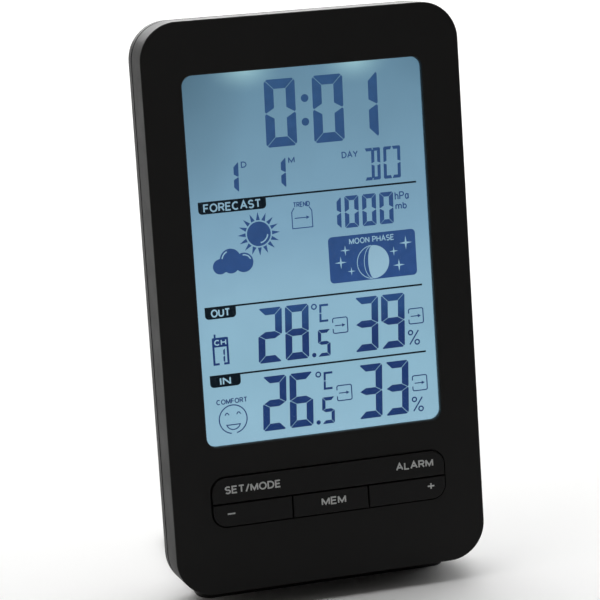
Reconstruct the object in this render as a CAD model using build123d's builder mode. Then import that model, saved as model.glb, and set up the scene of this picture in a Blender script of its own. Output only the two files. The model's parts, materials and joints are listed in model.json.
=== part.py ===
from build123d import *
import os
from math import cos, radians, sin

# Home weather station: a leaning console with a large backlit LCD, a four-key pad below it,
# a battery bay in its back and a flat stand that its back plugs onto.
#
# Axes: +Z up, +X to the viewer's right, the display faces -Y. The origin is on the table, under
# the middle of the whole station. The console leans back, so its pieces are drawn on planes
# parallel to its face: on those planes x runs to the right, y ("height") runs up the face from
# the console's bottom edge, and "depth" is how far the plane lies behind the face.

# ---------------------------------------------------------------- driving dimensions (mm)
LEAN = 12.3                  # degrees the console leans back
BODY_W = 92.0
BODY_H = 161.0
CORNER_R = 10.8
EDGE_R = 0.4                 # rounding of the face's rim
WALL = 2.0
SEAM = 9.9                   # depth of the parting line between the two covers
SEAM_CHAMFER = 0.2
SHADOW_GAP = 0.7             # groove round the rear cover, just behind the parting line
SHADOW_DEEP = 0.8
BACK = 17.0                  # depth of the flat back
BACK_ROUND = 4.0
FACE_FOOT_Y = -30.168        # where the face's bottom edge is, in Y
FACE_FOOT_Z = 6.3            # and how high it is above the table

WINDOW_W = 69.6
WINDOW_H = 104.0
WINDOW_MID = 94.0            # height of the window's middle up the face
WINDOW_R = 3.0
WINDOW_FLANGE = 2.0
LENS_RECESS = 0.4            # lens front below the face
LENS_GAP = 0.2

KEYPAD_W = 69.0
KEYPAD_TOP = 33.1
KEYPAD_BOTTOM = 19.2
KEYPAD_R = 4.0
KEY_ROW = 25.7               # height of the gap between the two rows
KEY_GAP = 0.35
KEY_COLUMN = 11.3            # half the middle key's pitch width
KEY_RIM = 0.22               # gap between the keys and the cover
KEY_PROUD = 0.6
KEY_TRAVEL = 0.5
KEY_CAP_BACK = 2.2
FLANGE_BACK = 2.9
FLANGE_OUT = 0.9
STEM_R = 1.4
PILL_T = 0.3
PIN_DEPTH = 2.55             # the rocker's pivot pin, which lies up the face in the middle of the pad
PIN_R = 0.3
PIN_FIT = 0.05
PIN_EAR_LOW = 34.4
PIN_EAR_H = 1.4
MAT_FRONT = 3.6
MAT_T = 0.8
KEY_BOARD_FRONT = 5.8
KEY_BOARD_T = 1.2

GLASS_W = 74.0               # LCD stack, front to back
GLASS_TOP = 148.2
GLASS_BOTTOM = 36.5
STACK_BOTTOM = 39.2          # rear layers stop above the contact strip
FILM_T = 0.2
GLASS_T = 1.1
GUIDE_T = 2.5
GUIDE_TOP = 146.5
STACK_FRONT = 3.3
FRAME_WALL = 1.8
FRAME_FRONT = 3.1
FRAME_BACK = 9.8
FRAME_PLATE = 1.0

BOARD_FRONT = 10.4
BOARD_T = 1.6
BOARD_W = 74.0
BOARD_BOTTOM = 35.4
BOARD_TOP = 128.0

BAY_HALF = 29.0              # battery bay, inside
BAY_BOTTOM = 4.0
BAY_TOP = 33.4
BAY_FRONT = 8.3
BAY_SIDE_WALL = 2.0
BAY_WALL = 1.4
BAY_FLOOR = 1.0
HUMP_BACK = 25.0
CELL_R = 7.1                 # AA cells
CELL_L = 50.5
CELL_DEPTH = 15.5
CELL_LOW = 11.2
CELL_HIGH = 26.2
CONTACT_T = 0.4

HINGE_HEIGHT = 6.0           # battery door pivot
HINGE_DEPTH = 23.2
DOOR_T = 1.6
BARREL_R = 1.7
PIVOT_R = 0.8
PIVOT_FIT = 0.05

SCREW_X = 39.5
SCREW_LOW = 7.0
SCREW_HIGH = 154.0
SEAT_DEPTH = 12.6            # where the housing screws' heads sit

STAND_HALF = 37.5
STAND_FRONT = 10.5           # depth of the stand's front edge behind the face
STAND_LENGTH = 50.0
STAND_T = 3.0
STAND_GAP = 0.05
TONGUE_X = 33.5
TONGUE_W = 4.0
TONGUE_T = 2.4
TONGUE_DEPTH = 12.6
TONGUE_TOP = 15.0
TONGUE_FIT = 0.3

# ---------------------------------------------------------------- frame helpers
OUT = (0, -cos(radians(LEAN)), sin(radians(LEAN)))      # straight out of the face
FACE = Plane(origin=(0, FACE_FOOT_Y, FACE_FOOT_Z), x_dir=(1, 0, 0), z_dir=OUT)
OUTWARD = Axis((0, 0, 0), OUT)


def at(depth):
    """The plane parallel to the face, at this depth behind it."""
    return FACE.offset(-depth)


def side(x):
    """An upright plane across the console: its x is depth, its y is height up the face."""
    origin = FACE.origin + Vector(x, 0, 0)
    return Plane(origin=origin, x_dir=(-OUT[0], -OUT[1], -OUT[2]), z_dir=(1, 0, 0))


def across(height):
    """The plane square to the face at this height: its x runs right, its y is depth."""
    up = Vector(0, sin(radians(LEAN)), cos(radians(LEAN)))
    return Plane(origin=FACE.origin + up * height, x_dir=(1, 0, 0), z_dir=up)


def span(low, high):
    """Middle and length of a stretch."""
    return (low + high) / 2, high - low


def save(builder, label):
    """Name the finished piece and write it."""
    builder.part.label = label
    export_step(builder.part, f"parts/{label}.step")


os.makedirs("parts", exist_ok=True)

BODY_MID = BODY_H / 2
SCREWS = [(x, y) for x in (-SCREW_X, SCREW_X) for y in (SCREW_LOW, SCREW_HIGH)]
KEY_SCREWS = [(x, y) for x in (-38.5, 38.5) for y in (16.0, 31.0)]
FRAME_SCREWS = [(x, y) for x in (-41.2, 41.2) for y in (50.0, 135.0)]
BOARD_SCREWS = [(x, y) for x in (-34.0, 34.0) for y in (46.0, 124.0)]
KEYPAD_MID, KEYPAD_H = span(KEYPAD_BOTTOM, KEYPAD_TOP)
EAR_FRONT = 5.0
EAR_T = 1.6

# ---------------------------------------------------------------- front cover
BOSS_R = 3.0
BOSS_HOLE_R = 1.25
SMALL_BOSS_R = 2.2
SMALL_HOLE_R = 0.85
RIB_IN = 0.4                 # the rib that locates the lens, outside its flange
RIB_T = 1.0
RIB_BACK = 3.1

with BuildPart() as front_cover:
    with BuildSketch(at(0)):
        with Locations((0, BODY_MID)):
            RectangleRounded(BODY_W, BODY_H, CORNER_R)
    extrude(amount=-SEAM)
    fillet(front_cover.faces().sort_by(OUTWARD)[-1].edges(), EDGE_R)
    chamfer(front_cover.faces().sort_by(OUTWARD)[0].edges(), SEAM_CHAMFER)
    with BuildSketch(at(WALL)):
        with Locations((0, BODY_MID)):
            RectangleRounded(BODY_W - 2 * WALL, BODY_H - 2 * WALL, CORNER_R - WALL)
    extrude(amount=-(SEAM - WALL), mode=Mode.SUBTRACT)
    # locating rib round the lens flange
    rib_w = WINDOW_W + 2 * (WINDOW_FLANGE + RIB_IN)
    rib_h = WINDOW_H + 2 * (WINDOW_FLANGE + RIB_IN)
    with BuildSketch(at(WALL)):
        with Locations((0, WINDOW_MID)):
            RectangleRounded(rib_w + 2 * RIB_T, rib_h + 2 * RIB_T, WINDOW_R + RIB_T)
            RectangleRounded(rib_w, rib_h, WINDOW_R, mode=Mode.SUBTRACT)
    extrude(amount=-(RIB_BACK - WALL))
    # bosses for the housing, key board and display frame screws
    with BuildSketch(at(WALL)):
        with Locations(*SCREWS):
            Circle(BOSS_R)
    extrude(amount=-(SEAM - WALL - 0.1))
    with BuildSketch(at(WALL)):
        with Locations(*KEY_SCREWS):
            Circle(SMALL_BOSS_R)
    extrude(amount=-(KEY_BOARD_FRONT - WALL))
    with BuildSketch(at(WALL)):
        with Locations(*FRAME_SCREWS):
            Circle(SMALL_BOSS_R)
    extrude(amount=-(EAR_FRONT - WALL))
    with BuildSketch(at(SEAM)):
        with Locations(*SCREWS):
            Circle(BOSS_HOLE_R)
    extrude(amount=SEAM - 3.2, mode=Mode.SUBTRACT)
    with BuildSketch(at(SEAM)):
        with Locations(*KEY_SCREWS, *FRAME_SCREWS):
            Circle(SMALL_HOLE_R)
    extrude(amount=SEAM - 2.0, mode=Mode.SUBTRACT)
    # ear that holds the rocker's pivot pin
    ear_mid, ear_h = span(PIN_EAR_LOW, PIN_EAR_LOW + PIN_EAR_H)
    with BuildSketch(at(WALL)):
        with Locations((0, ear_mid)):
            Rectangle(8 * PIN_R, ear_h)
    extrude(amount=-(PIN_DEPTH + PIN_R + 0.2 - WALL))
    with BuildSketch(across(PIN_EAR_LOW + PIN_EAR_H)):
        with Locations((0, PIN_DEPTH)):
            Circle(PIN_R + PIN_FIT)
    extrude(amount=-PIN_EAR_H, mode=Mode.SUBTRACT)
    # window and key pad openings
    with BuildSketch(at(0)):
        with Locations((0, WINDOW_MID)):
            RectangleRounded(WINDOW_W, WINDOW_H, WINDOW_R)
        with Locations((0, KEYPAD_MID)):
            RectangleRounded(KEYPAD_W + 2 * KEY_RIM, KEYPAD_H + 2 * KEY_RIM, KEYPAD_R + KEY_RIM)
    extrude(amount=-WALL, mode=Mode.SUBTRACT)
    rims = front_cover.faces().filter_by(FACE).sort_by(OUTWARD)[-1].inner_wires()
    chamfer([edge for wire in rims for edge in wire.edges()], 0.25)

# ---------------------------------------------------------------- rear cover
POST_R = 3.6
HEAD_POCKET_R = 2.7
SHANK_HOLE_R = 1.5
LIP_GAP = 0.15
LIP_T = 1.0
LIP_REACH = 1.4
HUMP_MID, HUMP_H = span(BAY_BOTTOM - BAY_WALL, BAY_TOP + BAY_WALL)
HUMP_HALF = BAY_HALF + BAY_SIDE_WALL
BAY_MID, BAY_H = span(BAY_BOTTOM, BAY_TOP)
SOCKET_W = TONGUE_W + 2 * TONGUE_FIT
SOCKET_T = TONGUE_T + 2 * TONGUE_FIT
SOCKET_TOP = TONGUE_TOP + 0.8
LATCH_W = 12.0
LATCH_REACH = 0.8
KEYHOLE = (0.0, 140.0)
KEYHOLE_R = 4.0
KEYHOLE_SLOT_W = 4.0
KEYHOLE_RISE = 8.0

with BuildPart() as rear_cover:
    with BuildSketch(at(SEAM)):
        with Locations((0, BODY_MID)):
            RectangleRounded(BODY_W, BODY_H, CORNER_R)
    extrude(amount=-(BACK - SEAM))
    fillet(rear_cover.faces().sort_by(OUTWARD)[0].edges(), BACK_ROUND)
    with BuildSketch(at(SEAM)):
        with Locations((0, BODY_MID)):
            RectangleRounded(BODY_W, BODY_H, CORNER_R)
            RectangleRounded(BODY_W - 2 * SHADOW_DEEP, BODY_H - 2 * SHADOW_DEEP, CORNER_R - SHADOW_DEEP,
                             mode=Mode.SUBTRACT)
    extrude(amount=-SHADOW_GAP, mode=Mode.SUBTRACT)
    with BuildSketch(at(SEAM)):
        with Locations((0, BODY_MID)):
            RectangleRounded(BODY_W - 2 * WALL, BODY_H - 2 * WALL, CORNER_R - WALL)
    extrude(amount=-(BACK - WALL - SEAM), mode=Mode.SUBTRACT)
    # lip that reaches inside the front cover, notched for its screw bosses
    with BuildSketch(at(SEAM - LIP_REACH)):
        with Locations((0, BODY_MID)):
            lip = WALL + LIP_GAP
            RectangleRounded(BODY_W - 2 * lip, BODY_H - 2 * lip, CORNER_R - lip)
            lip += LIP_T
            RectangleRounded(BODY_W - 2 * lip, BODY_H - 2 * lip, CORNER_R - lip, mode=Mode.SUBTRACT)
        with Locations(*SCREWS):
            Circle(BOSS_R + 0.4, mode=Mode.SUBTRACT)
    extrude(amount=-LIP_REACH)
    with BuildSketch(at(SEAM)):
        with Locations((0, BODY_MID)):
            lip = WALL - 0.2
            RectangleRounded(BODY_W - 2 * lip, BODY_H - 2 * lip, CORNER_R - lip)
            lip = WALL + LIP_GAP + LIP_T
            RectangleRounded(BODY_W - 2 * lip, BODY_H - 2 * lip, CORNER_R - lip, mode=Mode.SUBTRACT)
    extrude(amount=-1.0)
    # screw posts
    with BuildSketch(at(SEAM)):
        with Locations(*SCREWS):
            Circle(POST_R)
    extrude(amount=-(BACK - 0.5 - SEAM))
    # battery bay, which stands out of the back as a hump
    with BuildSketch(at(BAY_FRONT - BAY_FLOOR)):
        with Locations((0, HUMP_MID)):
            RectangleRounded(2 * HUMP_HALF, HUMP_H, 1.6)
    extrude(amount=-(HUMP_BACK - BAY_FRONT + BAY_FLOOR))
    fillet(rear_cover.faces().sort_by(OUTWARD)[0].edges(), 0.9)
    # sockets for the stand's tongues
    with BuildSketch(at(SEAM)):
        for sign in (-1, 1):
            with Locations((sign * TONGUE_X, (WALL + SOCKET_TOP + 1.2) / 2)):
                Rectangle(SOCKET_W + 2.4, SOCKET_TOP + 1.2 - WALL)
    extrude(amount=-(BACK - 1.0 - SEAM))
    with BuildSketch(at(TONGUE_DEPTH - SOCKET_T / 2)):
        for sign in (-1, 1):
            with Locations((sign * TONGUE_X, SOCKET_TOP / 2 - 1)):
                Rectangle(SOCKET_W, SOCKET_TOP + 2)
    extrude(amount=-SOCKET_T, mode=Mode.SUBTRACT)
    # screw holes
    with BuildSketch(at(SEAM - 1)):
        with Locations(*SCREWS):
            Circle(SHANK_HOLE_R)
    extrude(amount=-(BACK - SEAM + 1), mode=Mode.SUBTRACT)
    with BuildSketch(at(SEAT_DEPTH)):
        with Locations(*SCREWS):
            Circle(HEAD_POCKET_R)
    extrude(amount=-(BACK - SEAT_DEPTH), mode=Mode.SUBTRACT)
    # inside of the battery bay, its door's pivot holes, ledges and latch notch
    with BuildSketch(at(BAY_FRONT)):
        with Locations((0, BAY_MID)):
            Rectangle(2 * BAY_HALF, BAY_H)
    extrude(amount=-(HUMP_BACK - BAY_FRONT), mode=Mode.SUBTRACT)
    with BuildSketch(side(0)):
        with Locations((HINGE_DEPTH, HINGE_HEIGHT)):
            Circle(PIVOT_R + PIVOT_FIT)
    extrude(amount=BAY_HALF + 1.4, both=True, mode=Mode.SUBTRACT)
    with BuildSketch(at(HINGE_DEPTH - 1.0)):
        with Locations((-20, BAY_TOP - 0.5), (20, BAY_TOP - 0.5)):
            Rectangle(8, 1.4)
    extrude(amount=-1.0)
    with BuildSketch(at(HINGE_DEPTH)):
        with Locations((0, BAY_TOP)):
            Rectangle(LATCH_W + 0.6, 2 * (LATCH_REACH + 0.1))
    extrude(amount=-(HUMP_BACK - HINGE_DEPTH), mode=Mode.SUBTRACT)
    # keyhole for a wall screw, with its slot running up
    with BuildSketch(at(BACK - WALL)):
        with Locations(KEYHOLE):
            Circle(KEYHOLE_R)
        with Locations((KEYHOLE[0], KEYHOLE[1] + KEYHOLE_RISE / 2)):
            Rectangle(KEYHOLE_SLOT_W, KEYHOLE_RISE)
        with Locations((KEYHOLE[0], KEYHOLE[1] + KEYHOLE_RISE)):
            Circle(KEYHOLE_SLOT_W / 2)
    extrude(amount=-WALL, mode=Mode.SUBTRACT)
    # vents over the air sensors, and sound slots over the buzzer
    with BuildSketch(at(BACK - WALL)):
        with Locations((24, 62)):
            with GridLocations(0, 4.0, 1, 6):
                SlotOverall(16, 1.6)
        with Locations((-24, 62)):
            with GridLocations(0, 3.2, 1, 3):
                SlotOverall(9, 1.4)
    extrude(amount=-WALL, mode=Mode.SUBTRACT)

# ---------------------------------------------------------------- display stack
with BuildPart() as display_window:
    with BuildSketch(at(LENS_RECESS)):
        with Locations((0, WINDOW_MID)):
            RectangleRounded(WINDOW_W - 2 * LENS_GAP, WINDOW_H - 2 * LENS_GAP, WINDOW_R - LENS_GAP)
    extrude(amount=-(WALL - LENS_RECESS))
    chamfer(display_window.faces().sort_by(OUTWARD)[-1].edges(), 0.3)
    with BuildSketch(at(WALL)):
        with Locations((0, WINDOW_MID)):
            RectangleRounded(WINDOW_W + 2 * WINDOW_FLANGE, WINDOW_H + 2 * WINDOW_FLANGE, WINDOW_R)
    extrude(amount=-1.0)


def layer(front, thickness, width, low, high):
    """One flat sheet of the display stack."""
    middle, height = span(low, high)
    with BuildPart() as sheet:
        with BuildSketch(at(front)):
            with Locations((0, middle)):
                Rectangle(width, height)
        extrude(amount=-thickness)
    return sheet


depth = STACK_FRONT
front_polarizer = layer(depth, FILM_T, GLASS_W - 1.0, STACK_BOTTOM, GLASS_TOP - 0.5)
depth += FILM_T
lcd_front_glass = layer(depth, GLASS_T, GLASS_W, GLASS_BOTTOM, GLASS_TOP)
depth += GLASS_T
STRIP_FRONT = depth
lcd_rear_glass = layer(depth, GLASS_T, GLASS_W, STACK_BOTTOM, GLASS_TOP)
depth += GLASS_T
rear_polarizer = layer(depth, FILM_T, GLASS_W - 1.0, STACK_BOTTOM, GLASS_TOP - 0.5)
depth += FILM_T
diffuser_sheet = layer(depth, FILM_T, GLASS_W - 1.0, STACK_BOTTOM, GLASS_TOP - 0.5)
depth += FILM_T
GUIDE_FRONT = depth
light_guide = layer(depth, GUIDE_T, GLASS_W - 0.6, STACK_BOTTOM, GUIDE_TOP)
depth += GUIDE_T
reflector_sheet = layer(depth, FILM_T, GLASS_W - 0.6, STACK_BOTTOM, GUIDE_TOP)

STRIP_LOW = 36.9
STRIP_HIGH = 38.7
contact_strip = layer(STRIP_FRONT, BOARD_FRONT - STRIP_FRONT, 68.0, STRIP_LOW, STRIP_HIGH)

with BuildPart() as lcd_frame:
    frame_mid, frame_h = span(GLASS_BOTTOM, GLASS_TOP)
    frame_h += 0.2
    frame_w = GLASS_W + 0.2
    with BuildSketch(at(FRAME_FRONT)):
        with Locations((0, frame_mid)):
            Rectangle(frame_w + 2 * (FRAME_WALL - 0.1), frame_h + 2 * (FRAME_WALL - 0.3))
    extrude(amount=-(FRAME_BACK - FRAME_FRONT))
    with BuildSketch(at(EAR_FRONT)):
        for x, y in FRAME_SCREWS:
            with Locations((x, y)):
                Circle(SMALL_BOSS_R)
            with Locations((x * 0.94, y)):
                Rectangle(5.0, 2 * SMALL_BOSS_R)
    extrude(amount=-EAR_T)
    with BuildSketch(at(FRAME_FRONT)):
        with Locations((0, frame_mid)):
            Rectangle(frame_w, frame_h)
    extrude(amount=-(FRAME_BACK - FRAME_PLATE - FRAME_FRONT), mode=Mode.SUBTRACT)
    with BuildSketch(at(EAR_FRONT)):
        with Locations(*FRAME_SCREWS):
            Circle(1.05)
    extrude(amount=-EAR_T, mode=Mode.SUBTRACT)
    # standoffs for the main board
    with BuildSketch(at(FRAME_BACK)):
        with Locations(*BOARD_SCREWS):
            Circle(SMALL_BOSS_R)
    extrude(amount=-(BOARD_FRONT - FRAME_BACK))
    with BuildSketch(at(BOARD_FRONT)):
        with Locations(*BOARD_SCREWS):
            Circle(SMALL_HOLE_R)
    extrude(amount=BOARD_FRONT - FRAME_BACK + FRAME_PLATE, mode=Mode.SUBTRACT)
    # slot that the contact strip passes through
    with BuildSketch(at(FRAME_BACK)):
        with Locations((0, (STRIP_LOW + STRIP_HIGH) / 2)):
            Rectangle(68.4, STRIP_HIGH - STRIP_LOW + 0.3)
    extrude(amount=FRAME_PLATE, mode=Mode.SUBTRACT)

LED_X = 16.0
LED_T = 1.0
with BuildPart() as backlight_board:
    with BuildSketch(at(GUIDE_FRONT)):
        with Locations((0, GUIDE_TOP + LED_T + 0.4)):
            Rectangle(46, 0.6)
    extrude(amount=-GUIDE_T)

with BuildPart() as backlight_leds:
    with BuildSketch(at(GUIDE_FRONT + 0.5)):
        with Locations((-LED_X, GUIDE_TOP + 0.1 + LED_T / 2), (LED_X, GUIDE_TOP + 0.1 + LED_T / 2)):
            Rectangle(3.2, LED_T)
    extrude(amount=-(GUIDE_T - 1.0))

# ---------------------------------------------------------------- main board and what it carries
BOARD_BACK = BOARD_FRONT + BOARD_T
with BuildPart() as main_board:
    board_mid, board_h = span(BOARD_BOTTOM, BOARD_TOP)
    with BuildSketch(at(BOARD_FRONT)):
        with Locations((0, board_mid)):
            Rectangle(BOARD_W, board_h)
        with Locations(*BOARD_SCREWS):
            Circle(1.0, mode=Mode.SUBTRACT)
    extrude(amount=-BOARD_T)

with BuildPart() as controller_chip:
    with BuildSketch(at(BOARD_BACK)):
        with Locations((0, 78)):
            Circle(8.0)
    extrude(amount=-1.6)
    fillet(controller_chip.faces().sort_by(OUTWARD)[0].edges(), 1.3)

with BuildPart() as clock_crystals:
    for y in (90, 95):
        with BuildSketch(side(14)):
            with Locations((BOARD_BACK + 1.15, y)):
                Circle(1.1)
        extrude(amount=-6.0)

with BuildPart() as board_capacitors:
    with BuildSketch(at(BOARD_BACK)):
        with Locations((-26, 92), (-26, 100)):
            Circle(2.5)
    extrude(amount=-2.6)
    fillet(board_capacitors.faces().group_by(OUTWARD)[0].edges(), 0.4)

with BuildPart() as receiver_board:
    with BuildSketch(at(BOARD_BACK + 0.3)):
        with Locations((22, 110)):
            Rectangle(20, 14)
    extrude(amount=-0.8)

with BuildPart() as receiver_chip:
    with BuildSketch(at(BOARD_BACK + 1.1)):
        with Locations((20, 110)):
            Rectangle(4.4, 5.0)
    extrude(amount=-1.2)

with BuildPart() as receiver_coils:
    for x in (26, 29):
        with BuildSketch(at(BOARD_BACK + 1.1)):
            with Locations((x, 110)):
                Circle(1.2)
                Circle(0.7, mode=Mode.SUBTRACT)
        extrude(amount=-1.5)

with BuildPart() as pressure_sensor:
    with BuildSketch(at(BOARD_BACK)):
        with Locations((8, 60)):
            Rectangle(5, 5)
    extrude(amount=-1.2)
    with BuildSketch(at(BOARD_BACK + 1.2)):
        with Locations((8, 60)):
            Circle(1.6)
    extrude(amount=-0.5)

with BuildPart() as sensor_board:
    with BuildSketch(at(BOARD_BACK + 0.6)):
        with Locations((24, 62)):
            Rectangle(14, 18)
    extrude(amount=-0.8)

with BuildPart() as humidity_sensor:
    with BuildSketch(at(BOARD_BACK + 1.4)):
        with Locations((24, 64)):
            Rectangle(4, 4)
    extrude(amount=-1.2)
    with BuildSketch(at(BOARD_BACK + 2.6)):
        with Locations((24, 64)):
            Circle(1.0)
    extrude(amount=0.6, mode=Mode.SUBTRACT)

with BuildPart() as temperature_sensor:
    with BuildSketch(at(BOARD_BACK + 1.4)):
        with Locations((24, 57)):
            Circle(1.1)
    extrude(amount=-1.3)
    fillet(temperature_sensor.faces().sort_by(OUTWARD)[0].edges(), 0.8)

with BuildPart() as buzzer:
    with BuildSketch(at(BOARD_BACK)):
        with Locations((-24, 62)):
            Circle(6.0)
    extrude(amount=-2.4)
    with BuildSketch(at(BOARD_BACK + 2.4)):
        with Locations((-24, 62)):
            Circle(1.2)
    extrude(amount=1.4, mode=Mode.SUBTRACT)

WIRE_R = 0.4
with BuildPart() as antenna_wire:
    antenna_depth = BOARD_BACK + 1.1 + WIRE_R
    with BuildLine(at(antenna_depth)) as antenna_path:
        FilletPolyline((30, 115), (30, 130), (-28, 130), (-28, 112), radius=5)
    with BuildSketch(Plane(origin=antenna_path.line @ 0, z_dir=antenna_path.line % 0)):
        Circle(WIRE_R)
    sweep(path=antenna_path.line)

# ---------------------------------------------------------------- keys
BAR_MID, BAR_H = span(KEY_ROW + KEY_GAP / 2, KEYPAD_TOP)
LOW_MID, LOW_H = span(KEYPAD_BOTTOM, KEY_ROW - KEY_GAP / 2)
SIDE_KEY_W = KEYPAD_W / 2 - KEY_COLUMN - KEY_GAP / 2
SIDE_KEY_X = KEYPAD_W / 2 - SIDE_KEY_W / 2
MEM_W = 2 * KEY_COLUMN - KEY_GAP
PILL_X = 26.0                # rocker's two contact stems


def pad_outline(width, low, high, x=0):
    """The part of the key pad's rounded outline inside a rectangle."""
    middle, height = span(low, high)
    with Locations((0, KEYPAD_MID)):
        RectangleRounded(KEYPAD_W, KEYPAD_H, KEYPAD_R)
    with Locations((x, middle)):
        Rectangle(width, height, mode=Mode.INTERSECT)


def key_cap(x, width, low, high, stems, flange_x, flange_w, pin_top=0):
    """A key: proud cap with a softened rim, a retaining flange, its contact stems, and a pivot pin
    up to pin_top if it rocks."""
    middle, height = span(low, high)
    with BuildPart() as key:
        with BuildSketch(at(-KEY_PROUD)):
            pad_outline(width, low, high, x)
        extrude(amount=-(KEY_PROUD + KEY_CAP_BACK))
        fillet(key.faces().sort_by(OUTWARD)[-1].edges(), 0.35)
        with BuildSketch(at(KEY_CAP_BACK)):
            pad_outline(width, low, high, x)
        extrude(amount=-(FLANGE_BACK - KEY_CAP_BACK))
        with BuildSketch(at(KEY_CAP_BACK)):
            outer = FLANGE_OUT if middle > KEY_ROW else -FLANGE_OUT
            with Locations((flange_x, middle + outer / 2)):
                Rectangle(flange_w, height + FLANGE_OUT)
        extrude(amount=-(FLANGE_BACK - KEY_CAP_BACK))
        with BuildSketch(at(FLANGE_BACK)):
            with Locations(*[(stem, middle) for stem in stems]):
                Circle(STEM_R)
        extrude(amount=-(KEY_BOARD_FRONT - KEY_TRAVEL - 0.1 - PILL_T - FLANGE_BACK))
        if pin_top:
            with BuildSketch(across(high)):
                with Locations((flange_x, PIN_DEPTH)):
                    Circle(PIN_R)
            extrude(amount=pin_top - high)
    return key


def contact_pills(stems, middle):
    """The conductive pills on the ends of a key's stems."""
    with BuildPart() as pills:
        with BuildSketch(at(KEY_BOARD_FRONT - KEY_TRAVEL - 0.1 - PILL_T)):
            with Locations(*[(stem, middle) for stem in stems]):
                Circle(STEM_R)
        extrude(amount=-PILL_T)
    return pills


ROCKER_STEMS = (-PILL_X, PILL_X)
mode_alarm_key = key_cap(0, KEYPAD_W, KEY_ROW + KEY_GAP / 2, KEYPAD_TOP, ROCKER_STEMS, 0, 18,
                         pin_top=PIN_EAR_LOW + PIN_EAR_H)
mode_alarm_pills = contact_pills(ROCKER_STEMS, BAR_MID)
minus_key = key_cap(-SIDE_KEY_X, SIDE_KEY_W, KEYPAD_BOTTOM, KEY_ROW - KEY_GAP / 2,
                    (-SIDE_KEY_X,), -SIDE_KEY_X + 1, SIDE_KEY_W - 6)
minus_pill = contact_pills((-SIDE_KEY_X,), LOW_MID)
mem_key = key_cap(0, MEM_W, KEYPAD_BOTTOM, KEY_ROW - KEY_GAP / 2, (0,), 0, MEM_W - 4)
mem_pill = contact_pills((0,), LOW_MID)
plus_key = key_cap(SIDE_KEY_X, SIDE_KEY_W, KEYPAD_BOTTOM, KEY_ROW - KEY_GAP / 2,
                   (SIDE_KEY_X,), SIDE_KEY_X - 1, SIDE_KEY_W - 6)
plus_pill = contact_pills((SIDE_KEY_X,), LOW_MID)

STEM_SPOTS = [(x, BAR_MID) for x in ROCKER_STEMS] + [(x, LOW_MID) for x in (-SIDE_KEY_X, 0, SIDE_KEY_X)]

with BuildPart() as key_mat:
    with BuildSketch(at(MAT_FRONT)):
        with Locations((0, KEYPAD_MID)):
            RectangleRounded(KEYPAD_W + 2, KEYPAD_H, 2)
        with Locations(*STEM_SPOTS):
            Circle(STEM_R + 0.4, mode=Mode.SUBTRACT)
    extrude(amount=-MAT_T)
    # feet that space the mat off its board
    with BuildSketch(at(MAT_FRONT + MAT_T)):
        with Locations((0, KEYPAD_MID)):
            with GridLocations(KEYPAD_W - 1, KEYPAD_H - 2, 2, 2):
                Circle(0.9)
    extrude(amount=-(KEY_BOARD_FRONT - MAT_FRONT - MAT_T))

with BuildPart() as key_board:
    key_board_mid, key_board_h = span(12.0, 34.4)
    with BuildSketch(at(KEY_BOARD_FRONT)):
        with Locations((0, key_board_mid)):
            RectangleRounded(83, key_board_h, 1)
        with Locations(*KEY_SCREWS):
            Circle(1.0, mode=Mode.SUBTRACT)
    extrude(amount=-KEY_BOARD_T)

RIBBON_X = 33.4
RIBBON_T = 0.3
with BuildPart() as key_ribbon:
    with BuildSketch(side(-RIBBON_X - 1.8)):
        with BuildLine():
            FilletPolyline((7.2, 24.0), (7.2, 31.0), (12.2, 33.6), (13.2, 40.0), radius=1.5)
        trace(line_width=RIBBON_T)
    extrude(amount=3.6)

# ---------------------------------------------------------------- batteries and their contacts


def cell(height, sign):
    """An AA cell along X; its plus end points to sign."""
    with BuildPart() as battery:
        base = side(sign * (BAY_HALF - CONTACT_T - CELL_L))
        with BuildSketch(base):
            with Locations((CELL_DEPTH, height)):
                Circle(CELL_R)
        extrude(amount=sign * (CELL_L - 1.2))
        fillet(battery.edges().filter_by(GeomType.CIRCLE), 0.5)
        with BuildSketch(side(sign * (BAY_HALF - CONTACT_T))):
            with Locations((CELL_DEPTH, height)):
                Circle(2.7)
        extrude(amount=-sign * 1.3)
    return battery


battery_upper = cell(CELL_HIGH, 1)
battery_lower = cell(CELL_LOW, -1)

SPRING_WIRE_R = 0.35
SPRING_LENGTH = BAY_HALF - CONTACT_T - (CELL_L - BAY_HALF + CONTACT_T)
with BuildPart() as battery_springs:
    for height, sign in ((CELL_HIGH, -1), (CELL_LOW, 1)):
        root_x = sign * (BAY_HALF - CONTACT_T - SPRING_WIRE_R)
        root = at(CELL_DEPTH).from_local_coords((root_x, height, 0))
        coil = Helix(pitch=1.5, height=SPRING_LENGTH - 2.2 * SPRING_WIRE_R, radius=4.2, center=root,
                     direction=(-sign, 0, 0), cone_angle=-8)
        with BuildSketch(Plane(origin=coil @ 0, z_dir=coil % 0)):
            Circle(SPRING_WIRE_R)
        sweep(path=coil, is_frenet=True)

with BuildPart() as battery_contacts:
    # one long link on the left wall, two separate plates on the right wall
    with BuildSketch(side(-BAY_HALF)):
        with Locations((CELL_DEPTH, BAY_MID)):
            Rectangle(9, 25)
    extrude(amount=CONTACT_T)
    with BuildSketch(side(BAY_HALF)):
        with Locations((CELL_DEPTH, CELL_LOW), (CELL_DEPTH, CELL_HIGH)):
            Rectangle(9, 11)
    extrude(amount=-CONTACT_T)

LEAD_R = 0.5
with BuildPart() as battery_leads:
    for x in (20.0, 26.0):
        shifted = x - 2.5
        lead_foot = BAY_TOP + BAY_WALL + 0.1
        with BuildLine(at(13.4)) as lead_path:
            FilletPolyline((x, lead_foot), (x, 39.0), (shifted, 43.0), (shifted, 47.0), radius=2.5)
        with BuildSketch(Plane(origin=lead_path.line @ 0, z_dir=lead_path.line % 0)):
            Circle(LEAD_R)
        sweep(path=lead_path.line)

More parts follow.
